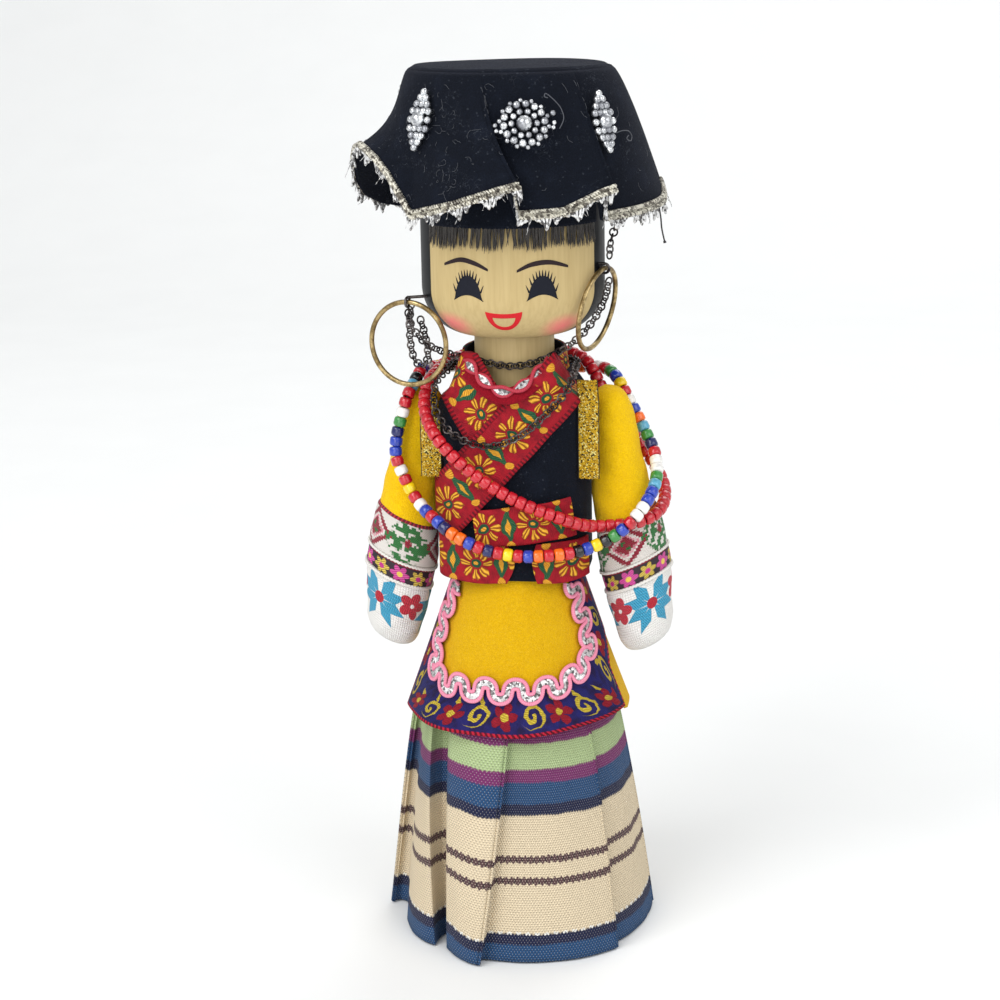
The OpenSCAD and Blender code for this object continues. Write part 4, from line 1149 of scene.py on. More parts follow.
@dataclass
class Tunic:
    """The felt tunic with its blue border and wavy braid."""

    radius: float = 16.2
    waist_z: float = 98.0
    hem_r: float = 29.5
    hem_z: float = 60.5
    felt: float = 0.8
    top_z: float = 99.5
    flat_r: float = 22.0
    # Edge of the bare panel: angle, and share of the way from waist to hem
    edge: tuple[tuple[float, float], ...] = (
        (-52.7, 0.06), (-57, 0.187), (-58.5, 0.293), (-57, 0.41), (-55, 0.515), (-53, 0.613), (-48, 0.67),
        (-38, 0.704), (-24, 0.707), (-9, 0.707), (5, 0.707), (19, 0.705), (31, 0.683), (41.5, 0.635),
        (51.5, 0.57), (57.5, 0.496), (59.5, 0.4), (60.0, 0.293), (60.0, 0.173), (59.0, 0.04),
    )
    waves: int = 13
    right: float = 73.0

    def reach(self, z: Array) -> Array:
        """Gives the felt's outer radius at a height: a drum above a cone."""
        low = np.clip((self.waist_z - z) / (self.waist_z - self.hem_z), 0.0, 1.1)
        return self.radius + (self.hem_r - self.radius) * low

    def rise(self, angle: Array, low: Array) -> Array:
        """Gives how far the front's hem rises towards its right end."""
        return 2.4 * np.clip(angle / 66.0, 0.0, 1.0) ** 1.2 * low**2

    def panel_path(self, count: int) -> tuple[Array, Array]:
        """Gives angle and height along the panel's edge: down, round a corner, across, round and up."""
        edge = smooth(self.edge, 8, False)
        z = self.waist_z + (self.hem_z - self.waist_z) * edge[:, 1]
        plane = joined(np.radians(edge[:, 0]) * self.flat_r, z)
        plane = spaced(plane, np.linspace(0.0, length_of(plane), count))
        return np.degrees(plane[:, 0] / self.flat_r), plane[:, 1]

    def ruffle(self, angle: Array, z: Array) -> tuple[Array, Array]:
        """Gives the share of the drop at a height and the felt's soft wave there, which grows with its square."""
        low = np.clip((self.waist_z - z) / (self.waist_z - self.hem_z), 0.0, 1.0)
        return low, low**2 * 0.5 * np.sin(np.radians(angle) * 7.0)

    def panel(self, first: float, last: float, hem: float, name: str, node: str, felt: Finish) -> None:
        """Makes one felt panel between two angles.

        Args:
            first: Angle where it begins.
            last: Angle where it ends.
            hem: Height of its hem.
            name: Piece name.
            node: CAD node it stands for.
            felt: Felt finish.
        """
        angle = np.linspace(first, last, 181)[None, :]
        z = np.linspace(self.top_z, hem, 60)[:, None]
        low, wave = self.ruffle(angle, z)
        radius = self.reach(z) + wave
        near = np.clip(1.0 - (angle - first) / 14.0, 0.0, 1.0) * np.clip(1.0 - (z - hem) / 7.0, 0.0, 1.0)
        lift = near**2 * 4.6 * (first > 0.0)
        points = around(angle, radius, z + lift + self.rise(angle, low) * (first < 0.0))
        flat = joined(np.radians(angle) * 24.0, z)
        cloth = Mesher().sheet(points, flat, self.felt).build(name, felt)
        settle(cloth, Body.TORSO, "yellow_felt", node)

    def border(self) -> None:
        """Makes the blue border: straight lines from the panel's edge to the felt's edge."""
        count = 241
        angle, z = self.panel_path(count)
        share = np.linspace(0.0, 1.0, count)
        keys = [0.0, 0.18, 0.27, 0.74, 0.82, 0.88, 1.0]
        right = self.right + 0.6
        out_angle = np.interp(share, keys, [-80.6, -80.6, -80.6, right, right, 90.0, 97.0])
        out_z = np.interp(share, keys, [98.4, 72.0, 60.0, 60.0, 72.0, 80.8, 98.4])
        across = np.linspace(0.0, 1.0, 15)[:, None]
        angles = out_angle + (angle - out_angle) * across
        heights = out_z + (z - out_z) * across
        low, wave = self.ruffle(angles, heights)
        points = around(angles, self.reach(heights) + 0.75 + wave, heights + self.rise(angles, low))
        width = np.linalg.norm(points[-1] - points[0], axis=-1)
        run = run_of(points[4])
        flat = joined(run, across * width)
        cloth = Mesher().sheet(points, flat, 0.6).build("border_ribbon", BorderRibbon().material())
        settle(cloth, Body.TORSO, "border_ribbon", "apron_border")

    def braid(self) -> None:
        """Makes the wavy braid: two pink cords beside a sine wave on the panel's edge, silver between."""
        count = 1201
        angle, z = self.panel_path(count)
        share = np.linspace(0.0, 1.0, count)
        lift = 1.3
        plane = joined(np.radians(angle) * (self.reach(z) + lift), z)
        along = unit(np.gradient(plane, axis=0))
        square = joined(-along[:, 1], along[:, 0])
        phase = (TURN * self.waves * share + 2.2)[:, None]
        middle = plane + square * 1.85 * np.sin(phase) - along * 0.5 * np.sin(2.0 * phase)
        way = unit(np.gradient(middle, axis=0))
        cross = joined(-way[:, 1], way[:, 0])

        def lay(flat_points: Array, out: float) -> Array:
            """Puts flat points back on the felt, a little way out."""
            height = flat_points[..., 1]
            base = self.reach(height)
            return around(np.degrees(flat_points[..., 0] / (base + lift)), base + out, height)

        pink = Cord("pink cord", rgb(240, 150, 176), rgb(206, 104, 136)).material()
        cords = np.stack([lay(middle + cross * side, 1.35) for side in (-1.2, 1.2)])
        wavy = Mesher().tube(cords, 0.52, 8, cords * LEVEL).build("apron_pink_cords", pink)
        settle(wavy, Body.TORSO, "pink_braid", "apron_ricrac")
        places = np.linspace(-0.9, 0.9, 7)
        strip = np.stack([lay(middle + cross * p, 1.25 + 0.25 * (1.0 - (p / 0.9) ** 2)) for p in places])
        strip += 0.12 * np.sin(np.arange(count) * 1.9)[:, None] * np.array([0.6, 1.0, 0.5])
        flat = joined(share * 130.0, places[:, None])
        tinsel = Mesher().sheet(strip, flat, 0.3).build("apron_silver_tinsel", MetalThread().material())
        settle(tinsel, Body.TORSO, "silver_braid", "apron_ricrac")

    def build(self) -> None:
        """Makes all pieces of the tunic."""
        felt = Felt().material()
        self.panel(-80.0, self.right, 60.5, "tunic_front_felt", "tunic_front", felt)
        self.panel(self.right + 1.0, 278.0, 59.5, "tunic_back_felt", "tunic_back", felt)
        self.border()
        self.braid()


@dataclass
class Vest:
    """The velvet vest with its ribbons, gold trims, collar and neckline braid."""

    half_x: float = 19.4
    half_y: float = 17.4
    corner: float = 12.5
    hem_z: float = 98.5
    side_z: float = 143.5
    top_z: float = 150.5
    top_x: float = 12.4
    neck_r: float = 12.8
    trim_x: float = 17.8
    trim_wide: float = 5.5
    trim_y: float = -12.5
    trim_foot: float = 125.0
    collar_from: float = 62.0
    collar_to: float = 298.0
    collar_z: float = 151.9
    # Neck opening in front: height, middle and half width
    opening: tuple[tuple[float, float, float], ...] = (
        (144.0, -1.2, 0.0), (147.5, -0.4, 3.6), (151.0, -0.6, 9.6), (154.0, -0.6, 10.0),
    )

    def front(self, x: Array, out: float) -> Array:
        """Gives y of the vest's front at x: a flat with rounded corners."""
        past = np.maximum(np.abs(x) - (self.half_x - self.corner), 0.0)
        bend = np.sqrt(np.maximum((self.corner + out) ** 2 - past**2, 0.0))
        return -(self.half_y - self.corner + bend)

    def lay(self, x: Array, z: Array, out: float) -> Array:
        """Puts a front view point on the vest; what is above the shoulder folds over to the back."""
        limit = self.half_x + out - 0.02
        x = np.clip(x, -limit, limit)
        fall = np.maximum(np.abs(x) - self.top_x, 0.0)
        top = self.top_z - fall * (self.top_z - self.side_z) / (self.half_x - self.top_x) + out
        over = np.maximum(z - top, 0.0)
        near = np.clip((16.0 - np.abs(x)) / 4.0, 0.0, 1.0)
        rise = np.minimum(over * 0.85, 6.5) * near
        return joined(x, self.front(x, out) + over * (1.0 - 0.35 * near), np.minimum(z, top) + rise)

    def shell(self) -> None:
        """Makes the velvet: the rounded outline at each height, pulled in over the shoulders to the neck hole."""
        turn = np.radians(np.linspace(-180.0, 180.0, 361))
        way = joined(np.sin(turn), -np.cos(turn))
        ring = way * self.corner + np.tanh(way * 14.0) * (np.array([self.half_x, self.half_y]) - self.corner)
        walls = joined(ring[:, 0], ring[:, 1], np.linspace(self.hem_z, self.side_z, 60)[:, None])
        rise = np.linspace(0.0, 1.0, 14)[1:, None]
        limit = self.half_x + (self.top_x - self.half_x) * rise
        x = np.clip(ring[:, 0], -limit, limit)
        slope = joined(x, ring[:, 1], self.side_z + (self.top_z - self.side_z) * rise)
        last = slope[-1, :, :2]
        plate = last + (unit(last) * self.neck_r - last) * np.linspace(0.0, 1.0, 8)[1:, None, None]
        top = joined(plate[..., 0], plate[..., 1], self.top_z)
        points = np.concatenate([walls, slope, top])
        middle = 0.25 * (points[:-1, :-1] + points[1:, :-1] + points[:-1, 1:] + points[1:, 1:])
        x, y, z = np.moveaxis(middle, -1, 0)
        heights, centres, halves = np.array(self.opening).T
        open_here = np.abs(x - np.interp(z, heights, centres)) < np.interp(z, heights, halves)
        keep = ~((y < 0.0) & (z > heights[0]) & open_here)
        flat = joined(turn * 18.0, np.arange(len(points))[:, None] * 0.8)
        velvet = Mesher().sheet(points, flat, 1.0, closed=True, keep=keep).build("vest_velvet", Velvet().material())
        settle(velvet, Body.TORSO, "black_velvet", "vest")

    def ribbon(
        self, name: str, node: str, start: tuple[float, float], end: tuple[float, float], wide: float, out: float,
        finish: Finish, shift: float, point: float = 0.0,
    ) -> None:
        """Makes one straight ribbon laid on the front.

        Args:
            name: Piece name.
            node: CAD node it stands for.
            start: Front view x and z of the middle of one end.
            end: The same of the other end.
            wide: Width.
            out: Distance of its outer face from the velvet.
            finish: Ribbon finish.
            shift: Where the pattern starts.
            point: How far the second end is cut to a point.
        """
        a, b = np.array(start), np.array(end)
        long = float(np.linalg.norm(b - a))
        way = (b - a) / long
        side = np.array([-way[1], way[0]])
        across = np.linspace(-0.5, 0.5, 25)[:, None] * wide
        reach = long - point * (np.abs(across) / (wide / 2.0)) ** 1.5
        share = np.linspace(0.0, 1.0, 161)
        run = share * reach
        spot = a + way * run[..., None] + side * across[..., None]
        sag = 0.12 * np.sin(run * 0.5 + across * 0.3)
        points = self.lay(spot[..., 0], spot[..., 1] + sag, out)
        flat = joined(run + shift, across)
        cloth = Mesher().sheet(points, flat, 0.6).build(name, finish)
        settle(cloth, Body.TORSO, "red_ribbon", node)

    def trims(self) -> None:
        """Makes the two gold armhole trims: a straight strip that stands out from the vest's corner."""
        gold = GoldTrim().material()
        for side, top in ((Side.LEFT, 141.0), (Side.RIGHT, 150.4)):
            across = np.linspace(0.0, 1.0, 11)[:, None]
            z = np.linspace(self.trim_foot, top, 60)
            bow = 0.3 * np.sin(z * 0.5)
            over = np.maximum(z - 145.5, 0.0)
            x = self.trim_x + self.trim_wide * across - 0.12 * over
            y = self.trim_y + 0.1 * across - 0.35 * np.sin(np.pi * across) + 0.25 * bow + 0.55 * over
            points = joined(x * side.value, y, z)
            flat = joined(z, (across - 0.5) * 4.9)
            strip = Mesher().sheet(points, flat, 0.6).build(f"gold_trim_{side.word}", gold)
            settle(strip, Body.TORSO, "gold_trim", f"armhole_trim_{side.word}")

    def collar(self, finish: Finish) -> None:
        """Makes the ribbon collar behind the neck, an arc of a leaning drum, and a dark velvet sheet inside it as
        painted shade.
        """
        angle = np.linspace(self.collar_from, self.collar_to, 161)
        share = np.linspace(0.0, 1.0, 9)[:, None]
        lap = (angle - self.collar_from) / (self.collar_to - self.collar_from)
        tall = 3.4 + 2.6 * np.sin(np.pi * np.clip(lap, 0.0, 1.0)) ** 0.5
        # Painted shade: a dark velvet sheet inside the ribbon stands in for the shadow inside the collar.
        painted_shade = Velvet(name="collar painted shade").material()
        for name, radius, thick, cloth in (("collar_ribbon", 14.3, 0.6, finish), ("collar_painted_shade", 13.65, 0.5, painted_shade)):
            points = around(angle, radius - 0.7 * share, self.collar_z + tall * share)
            flat = joined(np.radians(angle) * 14.0, (share - 0.5) * tall)
            band = Mesher().sheet(points, flat, thick).build(name, cloth)
            settle(band, Body.TORSO, "red_ribbon", "collar")

    def neck_braid(self) -> None:
        """Makes the neckline braid: two pink cords that cross along the neckline, silver in the gaps."""
        route = (
            (-11.6, -11.2, 156.2), (-9.6, -15.4, 155.2), (-6.2, -18.4, 152.4), (-2.2, -19.9, 149.6),
            (1.6, -20.1, 149.2), (5.2, -19.4, 151.0), (8.6, -17.0, 153.8), (11.2, -12.4, 156.0),
        )
        curve = smooth(route, 40, False)
        count = 400
        run = np.linspace(0.0, length_of(curve), count)
        path = spaced(curve, run)
        along = unit(np.gradient(path, axis=0))
        out = np.array([0.0, -1.0, 0.35])
        side = unit(np.cross(along, out))
        swing = np.cos(np.linspace(0.0, TURN * 3.0, count))[:, None]
        front = np.cross(side, along)
        front *= np.sign(np.sum(front * out))
        cords = np.stack([path + side * 1.15 * swing * s + front * 0.25 * s for s in (-1.0, 1.0)])
        pink = Cord("rose cord", rgb(188, 46, 66), rgb(140, 24, 46)).material()
        lap = np.linspace(-1.2, 3.2, 7)[:, None, None]
        tape = path + side * lap - front * 0.45
        flat = joined(run, lap[..., 0])
        red = Felt("red neck tape", rgb(150, 16, 34), rgb(112, 8, 24), rgb(176, 40, 56)).material()
        settle(Mesher().sheet(tape, flat, 0.3).build("neck_tape", red), Body.TORSO, "pink_braid", "neck_braid")
        wound = Mesher().tube(cords, 0.5, 8, out).build("neck_pink_cords", pink)
        settle(wound, Body.TORSO, "pink_braid", "neck_braid")
        places = np.linspace(-1.0, 1.0, 5)[:, None, None]
        strip = path + side * places * np.abs(swing) * 0.9 + front * 0.2
        strip = strip + 0.1 * np.sin(np.arange(count) * 2.3)[:, None]
        flat = joined(run, places[..., 0])
        tinsel = Mesher().sheet(strip, flat, 0.25).build("neck_silver_tinsel", MetalThread().material())
        settle(tinsel, Body.TORSO, "silver_braid", "neck_braid")

    def build(self) -> None:
        """Makes all pieces of the vest."""
        red = FlowerRibbon().material()
        self.shell()
        self.ribbon("lapel_under_ribbon", "lapel_under", (-16.2, 158.4), (-2.6, 137.0), 15.0, 0.75, red, 1.0)
        self.ribbon("lapel_over_ribbon", "lapel_over", (22.5, 159.8), (-19.6, 114.6), 14.4, 1.45, red, 2.0)
        self.ribbon("front_tab_ribbon", "front_tab", (-8.6, 112.2), (16.8, 115.6), 10.2, 1.4, red, 4.0)
        self.ribbon("hem_red_ribbon_left", "hem_ribbon_left", (-19.9, 103.6), (1.6, 103.2), 10.8, 0.75, red, 8.0, 2.0)
        self.ribbon("hem_red_ribbon_right", "hem_ribbon_right", (19.9, 103.6), (6.2, 103.4), 10.8, 0.75, red, 3.0, 1.2)
        self.trims()
        self.collar(red)
        self.neck_braid()


@dataclass
class Strands:
    """The two bead strands with their threads, and the chest chain."""

    pitch: float = 2.62
    radius: float = 1.7
    half: float = 1.27
    hole: float = 0.75
    thread: float = 0.3
    order: str = "KLRRWGNBBRWRYRWBRBNOOBRNRYRBORORKBYKGBRWWBBLGWWRNGLOBWRYBGRWNOLRB"
    red_route: tuple[tuple[float, float, float], ...] = (
        (-20.2, -3, 150.8), (-21.6, -7.6, 148.8), (-22.2, -10.8, 145), (-21, -15, 141), (-17.6, -20.2, 136.8),
        (-12.4, -21.8, 131.6), (-7, -21.4, 127), (-2, -21.2, 123.6), (3, -21.2, 120.8), (8, -21, 118.6),
        (13.2, -19.8, 116.4), (18, -16.8, 114), (22, -13.2, 112.6), (26.4, -11.2, 112.4), (30.6, -10.9, 112.8),
        (34.8, -9.3, 113.6), (38, -5.6, 115), (39.2, 0, 117.2), (38.2, 5.6, 120.6), (34.2, 9.4, 126.4),
        (28.4, 10.4, 134.2), (23, 10.8, 142), (20, 12.4, 147), (16.4, 15.6, 151.4), (9, 19, 152.8),
        (0, 19.4, 152.4), (-8, 18.6, 152.4), (-14, 15.2, 152.4), (-19, 6, 151.8),
    )
    mixed_route: tuple[tuple[float, float, float], ...] = (
        (-25.4, -1.6, 149.6), (-27.2, -7, 145.4), (-28.8, -8.2, 140), (-30.2, -8.6, 134.6), (-30.4, -9.2, 129.4),
        (-28.4, -10.2, 124.6), (-26.2, -10.9, 120.4), (-23.2, -12.8, 116.8), (-18.9, -16.6, 114.2),
        (-14.6, -19.4, 111.6), (-9.8, -20.9, 109.4), (-5, -21.1, 107.6), (0, -21.1, 106.6), (4.4, -21.1, 106.2),
        (9.8, -20.8, 106.4), (15, -19.2, 106.6), (20, -16.4, 107.2), (24.4, -14.8, 108.8), (28, -14.7, 111),
        (31.4, -14.2, 114), (34.4, -11.8, 117.4), (36.6, -7.8, 121), (37.4, -3, 124.6), (36.4, 1.6, 129),
        (34, 4.6, 133.4), (31.4, 6.6, 138), (28.8, 8, 142.4), (26.6, 10, 146), (24.4, 12.8, 148),
        (21.2, 16.2, 148.8), (16.5, 19, 148.4), (9, 20.6, 148.2), (0, 20.8, 148), (-9, 20.4, 148.2),
        (-16.5, 16.6, 148.8), (-21.6, 9.6, 150), (-24.6, 3, 150.6),
    )

    def follow(self, thing: Thing, side: Side, weights: Array, node: str) -> None:
        """Bakes a piece's placement into its points and lets it stand for its CAD node.

        Args:
            thing: The piece.
            side: Side of the arm.
            weights: Share of the arm for each point; not used.
            node: CAD node it stands for.
        """
        sign = float(side.value)
        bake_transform(thing)
        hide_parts(node)
        LOG.info("piece %s follows torso and arm_%s", thing.name, side.word)

    @staticmethod
    def share(x: Array) -> Array:
        """Gives the arm's share at a distance from the middle, as a smooth step."""
        t = np.clip((np.abs(x) - 16.0) / 10.0, 0.0, 1.0)
        return t * t * (3.0 - 2.0 * t)

    def profile(self) -> Array:
        """Gives the bead's closed section as radius and place along the hole: a rounded rectangle."""
        bend = 0.7
        quarter = np.linspace(0.0, np.pi / 2.0, 4)
        cap = joined(self.radius - bend + bend * np.sin(quarter), self.half - bend + bend * np.cos(quarter))
        top = np.concatenate([[[self.hole, self.half]], cap])
        return np.concatenate([top, top[::-1] * np.array([1.0, -1.0]), top[:1]])

    def beads(
        self, name: str, node: str, spots: Array, ways: Array, finish: Finish
    ) -> dict[Side, Thing]:
        """Makes the beads of one colour, as one piece on each side: a section turned about each thread direction.

        Args:
            name: Piece name.
            node: CAD node they stand for.
            spots: Bead middles.
            ways: Thread directions.
            finish: Bead finish.

        Returns:
            The piece on each side that has beads.
        """
        section = self.profile()
        made: dict[Side, Thing] = {}
        turn = np.linspace(0.0, TURN, 15)
        up = np.where(np.abs(ways[:, 2:3]) < 0.9, UPRIGHT, np.array([1.0, 0.0, 0.0]))
        first = unit(np.cross(ways, up))
        second = np.cross(ways, first)
        circle = first[:, None, :] * np.cos(turn)[:, None] + second[:, None, :] * np.sin(turn)[:, None]
        shape = section[None, :, None, :1] * circle[:, None] + section[None, :, None, 1:] * ways[:, None, None, :]
        points = spots[:, None, None, :] + shape
        flat = joined(turn, section[:, :1])
        for side in Side:
            mine = spots[:, 0] * side.value >= 0.0 if side is Side.RIGHT else spots[:, 0] < 0.0
            if not mine.any():
                continue
            piece = Mesher().grid(points[mine], flat).build(f"{name}_{side.word}", finish)
            gap = np.linalg.norm(points_of(piece)[:, None] - spots[mine][None], axis=-1)
            weights = self.share(spots[mine][np.argmin(gap, axis=1), 0])
            self.follow(piece, side, weights, node)
            made[side] = piece
        return made

    def string(
        self, name: str, node: str, curve: Array, finish: Finish
    ) -> None:
        """Makes a strand's thread in two halves, each one run between the middle of the back and of the front.

        Args:
            name: Piece name.
            node: CAD node it stands for.
            curve: Closed way of the strand.
            finish: Thread finish.
        """
        path = spaced(curve, np.linspace(0.0, length_of(curve), 420))[:-1]
        far = 1000.0
        path = np.roll(path, -int(np.argmin(np.abs(path[:, 0]) + far * (path[:, 1] < 0.0))), axis=0)
        path = np.concatenate([path, path[:1]])
        front = int(np.argmin(np.abs(path[:, 0]) + far * (path[:, 1] > 0.0)))
        for side, run in ((Side.LEFT, path[: front + 1]), (Side.RIGHT, path[front:])):
            work = Mesher().tube(run, self.thread, 6, np.array([0.05, 0.0, 1.0]))
            piece = work.build(f"{name}_{side.word}", finish)
            self.follow(piece, side, self.share(points_of(piece)[:, 0]), node)

    def build(self) -> None:
        """Makes the strands and dresses the chains."""
        colours = {
            "R": ("red", rgb(196, 26, 42)), "B": ("blue", rgb(40, 66, 178)), "N": ("navy", rgb(26, 32, 92)),
            "W": ("white", rgb(244, 242, 238)), "Y": ("yellow", rgb(250, 214, 24)), "O": ("orange", rgb(250, 112, 26)),
            "G": ("green", rgb(60, 140, 66)), "K": ("black", rgb(18, 18, 22)), "L": ("light_blue", rgb(92, 168, 200)),
        }
        finishes = {k: Glass(f"{word} bead", colour).material() for k, (word, colour) in colours.items()}
        thread = Cord("waxed thread", rgb(70, 62, 60), rgb(40, 36, 36)).material()
        for name, route in (("red", self.red_route), ("mixed", self.mixed_route)):
            curve = smooth(route, 3, True)
            long = length_of(curve)
            count = int(long // self.pitch)
            step = long / count
            middle = np.arange(count) + 0.5
            spots = spaced(curve, middle * step)
            ways = unit(spaced(curve, (middle + 0.3) * step) - spaced(curve, (middle - 0.3) * step))
            if name == "red":
                strung = [self.beads("red_strand", "red_strand_beads", spots, ways, finishes["R"])]
            else:
                letters = np.array([self.order[i % len(self.order)] for i in range(count)])
                strung = []
                for letter, (word, _) in colours.items():
                    mine, label = letters == letter, f"mixed_beads_{word}"
                    strung.append(self.beads(label, label, spots[mine], ways[mine], finishes[letter]))
            self.string(f"{name}_strand_thread", f"{name}_thread", curve, thread)
        chain = Metal("dark chain", rgb(118, 112, 110), rgb(44, 40, 42)).material()
        dress(chain, "chest_chain", "chin_chain", "ear_chain_left", "ear_chain_right", "ear_pin_left", "ear_pin_right")


@dataclass
class Head:
    """The painted head with its fringe and the metal on it."""

    radius: float = 23.7
    jaw_r: float = 12.6
    jaw_from: float = 11.1
    jaw_z: float = 174.0
    fringe_z: float = 192.6
    band_foot: float = 190.9
    band_top: float = 199.8
    fringe_foot: float = 185.9
    fringe_from: float = -52.0
    fringe_to: float = 66.0

    def skin(self, angle: Array, z: Array, out: float) -> Array:
        """Puts an angle and a height on the head: a drum above a rounded jaw."""
        drop = np.clip(self.jaw_z - z, 0.0, self.jaw_r - 0.05)
        radius = np.where(z > self.jaw_z, self.radius, self.jaw_from + np.sqrt(self.jaw_r**2 - drop**2))
        return around(angle, radius + out, z)

    def stroke(self, work: Mesher, low: Array, high: Array) -> None:
        """Adds a thin painted shape between two curves of angle and height."""
        share = np.linspace(0.0, 1.0, 9)[:, None, None]
        place = low + (high - low) * share
        work.sheet(self.skin(place[..., 0], place[..., 1], 0.07), place, 0.12)

    def eyes(self) -> None:
        """Paints the eyes: a dome over a hollow foot, with lashes that point outward along the dome."""
        work = Mesher()
        t = np.linspace(0.0, 1.0, 41)
        for left, right, foot, top in ((-31.1, -10.7, 172.5, 178.9), (15.8, 36.0, 172.6, 178.8)):
            wide = right - left
            angle = left + wide * t
            hollow = foot + 1.5 * np.sin(np.pi * t)
            dome = foot + 0.7 + (top - foot - 0.7) * (1.0 - np.abs(2.0 * t - 1.0) ** 2.2) ** 0.6
            inner = left + wide * (0.06 + 0.88 * t)
            self.stroke(work, joined(angle, hollow), joined(inner, np.maximum(dome, hollow + 0.05)))
            for place in np.linspace(0.03, 0.97, 11):
                root_a = left + wide * (0.06 + 0.88 * place)
                root_z = foot + 0.5 + (top - foot - 0.7) * (1.0 - abs(2.0 * place - 1.0) ** 2.2) ** 0.6
                lean = (place - 0.5) * 4.5
                s = np.linspace(0.0, 1.0, 8)
                long = 1.75 + 0.5 * abs(place - 0.5)
                slim = 0.62 * (1.0 - s) ** 0.8 + 0.03
                mid_a = root_a + lean * s
                mid_z = root_z + long * s
                self.stroke(work, joined(mid_a - slim, mid_z), joined(mid_a + slim, mid_z))
        ink = Paint("black face paint", rgb(24, 26, 36)).material()
        settle(work.build("painted_eyes", ink), Body.HEAD, "wood_face")

    def brows(self) -> None:
        """Paints the brows: a tapering stroke along a curve through four points."""
        work = Mesher()
        for route in (
            ((-38.6, 181.3), (-26.0, 182.8), (-16.0, 182.1), (-7.4, 180.5)),
            ((10.1, 180.2), (19.4, 181.8), (30.8, 182.1), (43.4, 180.7)),
        ):
            curve = smooth(route, 16, False)
            t = np.linspace(0.0, 1.0, len(curve))
            half = 0.16 + 0.46 * np.sin(np.pi * np.clip(t * 0.9 + 0.05, 0.0, 1.0)) ** 0.7
            low, high = curve.copy(), curve.copy()
            low[:, 1] -= half
            high[:, 1] += half
            self.stroke(work, low, high)
        ink = Paint("brown face paint", rgb(46, 34, 36)).material()
        settle(work.build("painted_brows", ink), Body.HEAD, "wood_face")

    def mouth(self) -> None:
        """Paints the mouth: the band between an outer and an inner flat-topped smile."""
        turn = np.linspace(0.0, TURN, 81)

        def smile(middle: float, half: float, top: float, foot: float, dip: float) -> Array:
            """Gives a closed outline: across a slightly hollow top, back round a deep bow."""
            x = np.cos(turn)
            bow = foot + (top - foot) * (1.0 - np.sqrt(np.maximum(1.0 - np.abs(x) ** 2.3, 0.0)))
            roof = top - dip * (1.0 - x**2)
            return joined(middle + half * x, np.where(turn <= np.pi, roof, bow))

        work = Mesher()
        outer = smile(1.5, 11.7, 169.9, 164.8, 0.55)
        inner = smile(1.5, 7.4, 168.35, 165.75, 0.15)
        self.stroke(work, inner, outer)
        ink = Paint("red lip paint", rgb(206, 34, 42)).material()
        settle(work.build("painted_mouth", ink), Body.HEAD, "wood_face")

    def fringe(self) -> None:
        """Makes the fringe: tapering strands that hang from a band, each with its own lean and length."""
        rng = np.random.default_rng(7)
        count = 330
        angle = np.sort(rng.uniform(self.fringe_from, self.fringe_to, count))
        clump = 1.6 * np.sin(angle * 1.7) + rng.normal(0.0, 0.5, count)
        foot = self.fringe_foot + rng.normal(0.0, 0.45, count) + 0.35 * np.sin(angle * 0.21)
        s = np.linspace(0.0, 1.0, 7)
        z = self.fringe_z + (foot - self.fringe_z)[:, None] * s
        out = self.radius + 0.3 + rng.uniform(0.0, 0.45, count)[:, None] + 0.35 * s**2
        path = around(angle[:, None] + clump[:, None] * s**1.5, out, z)
        slim = np.broadcast_to(0.17 * (1.0 - s**3) + 0.03, z.shape)
        work = Mesher().tube(path, slim, 5, path * LEVEL)
        own = np.repeat(rng.uniform(0.0, 90.0, count), work.points[-1].shape[0] // count)
        work.flats[-1] = work.flats[-1] + own[:, None]
        hair = work.build("fringe_strands", Hair().material(), weld=0.0005)
        settle(hair, Body.HEAD, "hair", "hair_fringe")
        turn = np.linspace(self.fringe_from - 1.0, self.fringe_to + 1.0, 121)
        z = np.linspace(self.band_top, self.band_foot, 12)[:, None]
        uneven = 0.12 * np.sin(turn * 2.3) * np.linspace(0.0, 1.0, 12)[:, None]
        face = around(turn, self.radius + 1.0, z + uneven)
        flat = joined(np.radians(turn) * self.radius, z)
        cap = Velvet(name="cap velvet").material()
        band = Mesher().sheet(face, flat, 0.5).build("cap_band", cap)
        settle(band, Body.HEAD, "hair", "hair_fringe")

    def build(self) -> None:
        """Makes the paint and the fringe and dresses the head's metal."""
        dress(FaceWood().material(), "head")
        self.eyes()
        self.brows()
        self.mouth()
        self.fringe()
        brass = Metal("antique brass", rgb(196, 172, 122), rgb(122, 102, 66), 0.3).material()
        dress(brass, "hoop_left", "hoop_right")


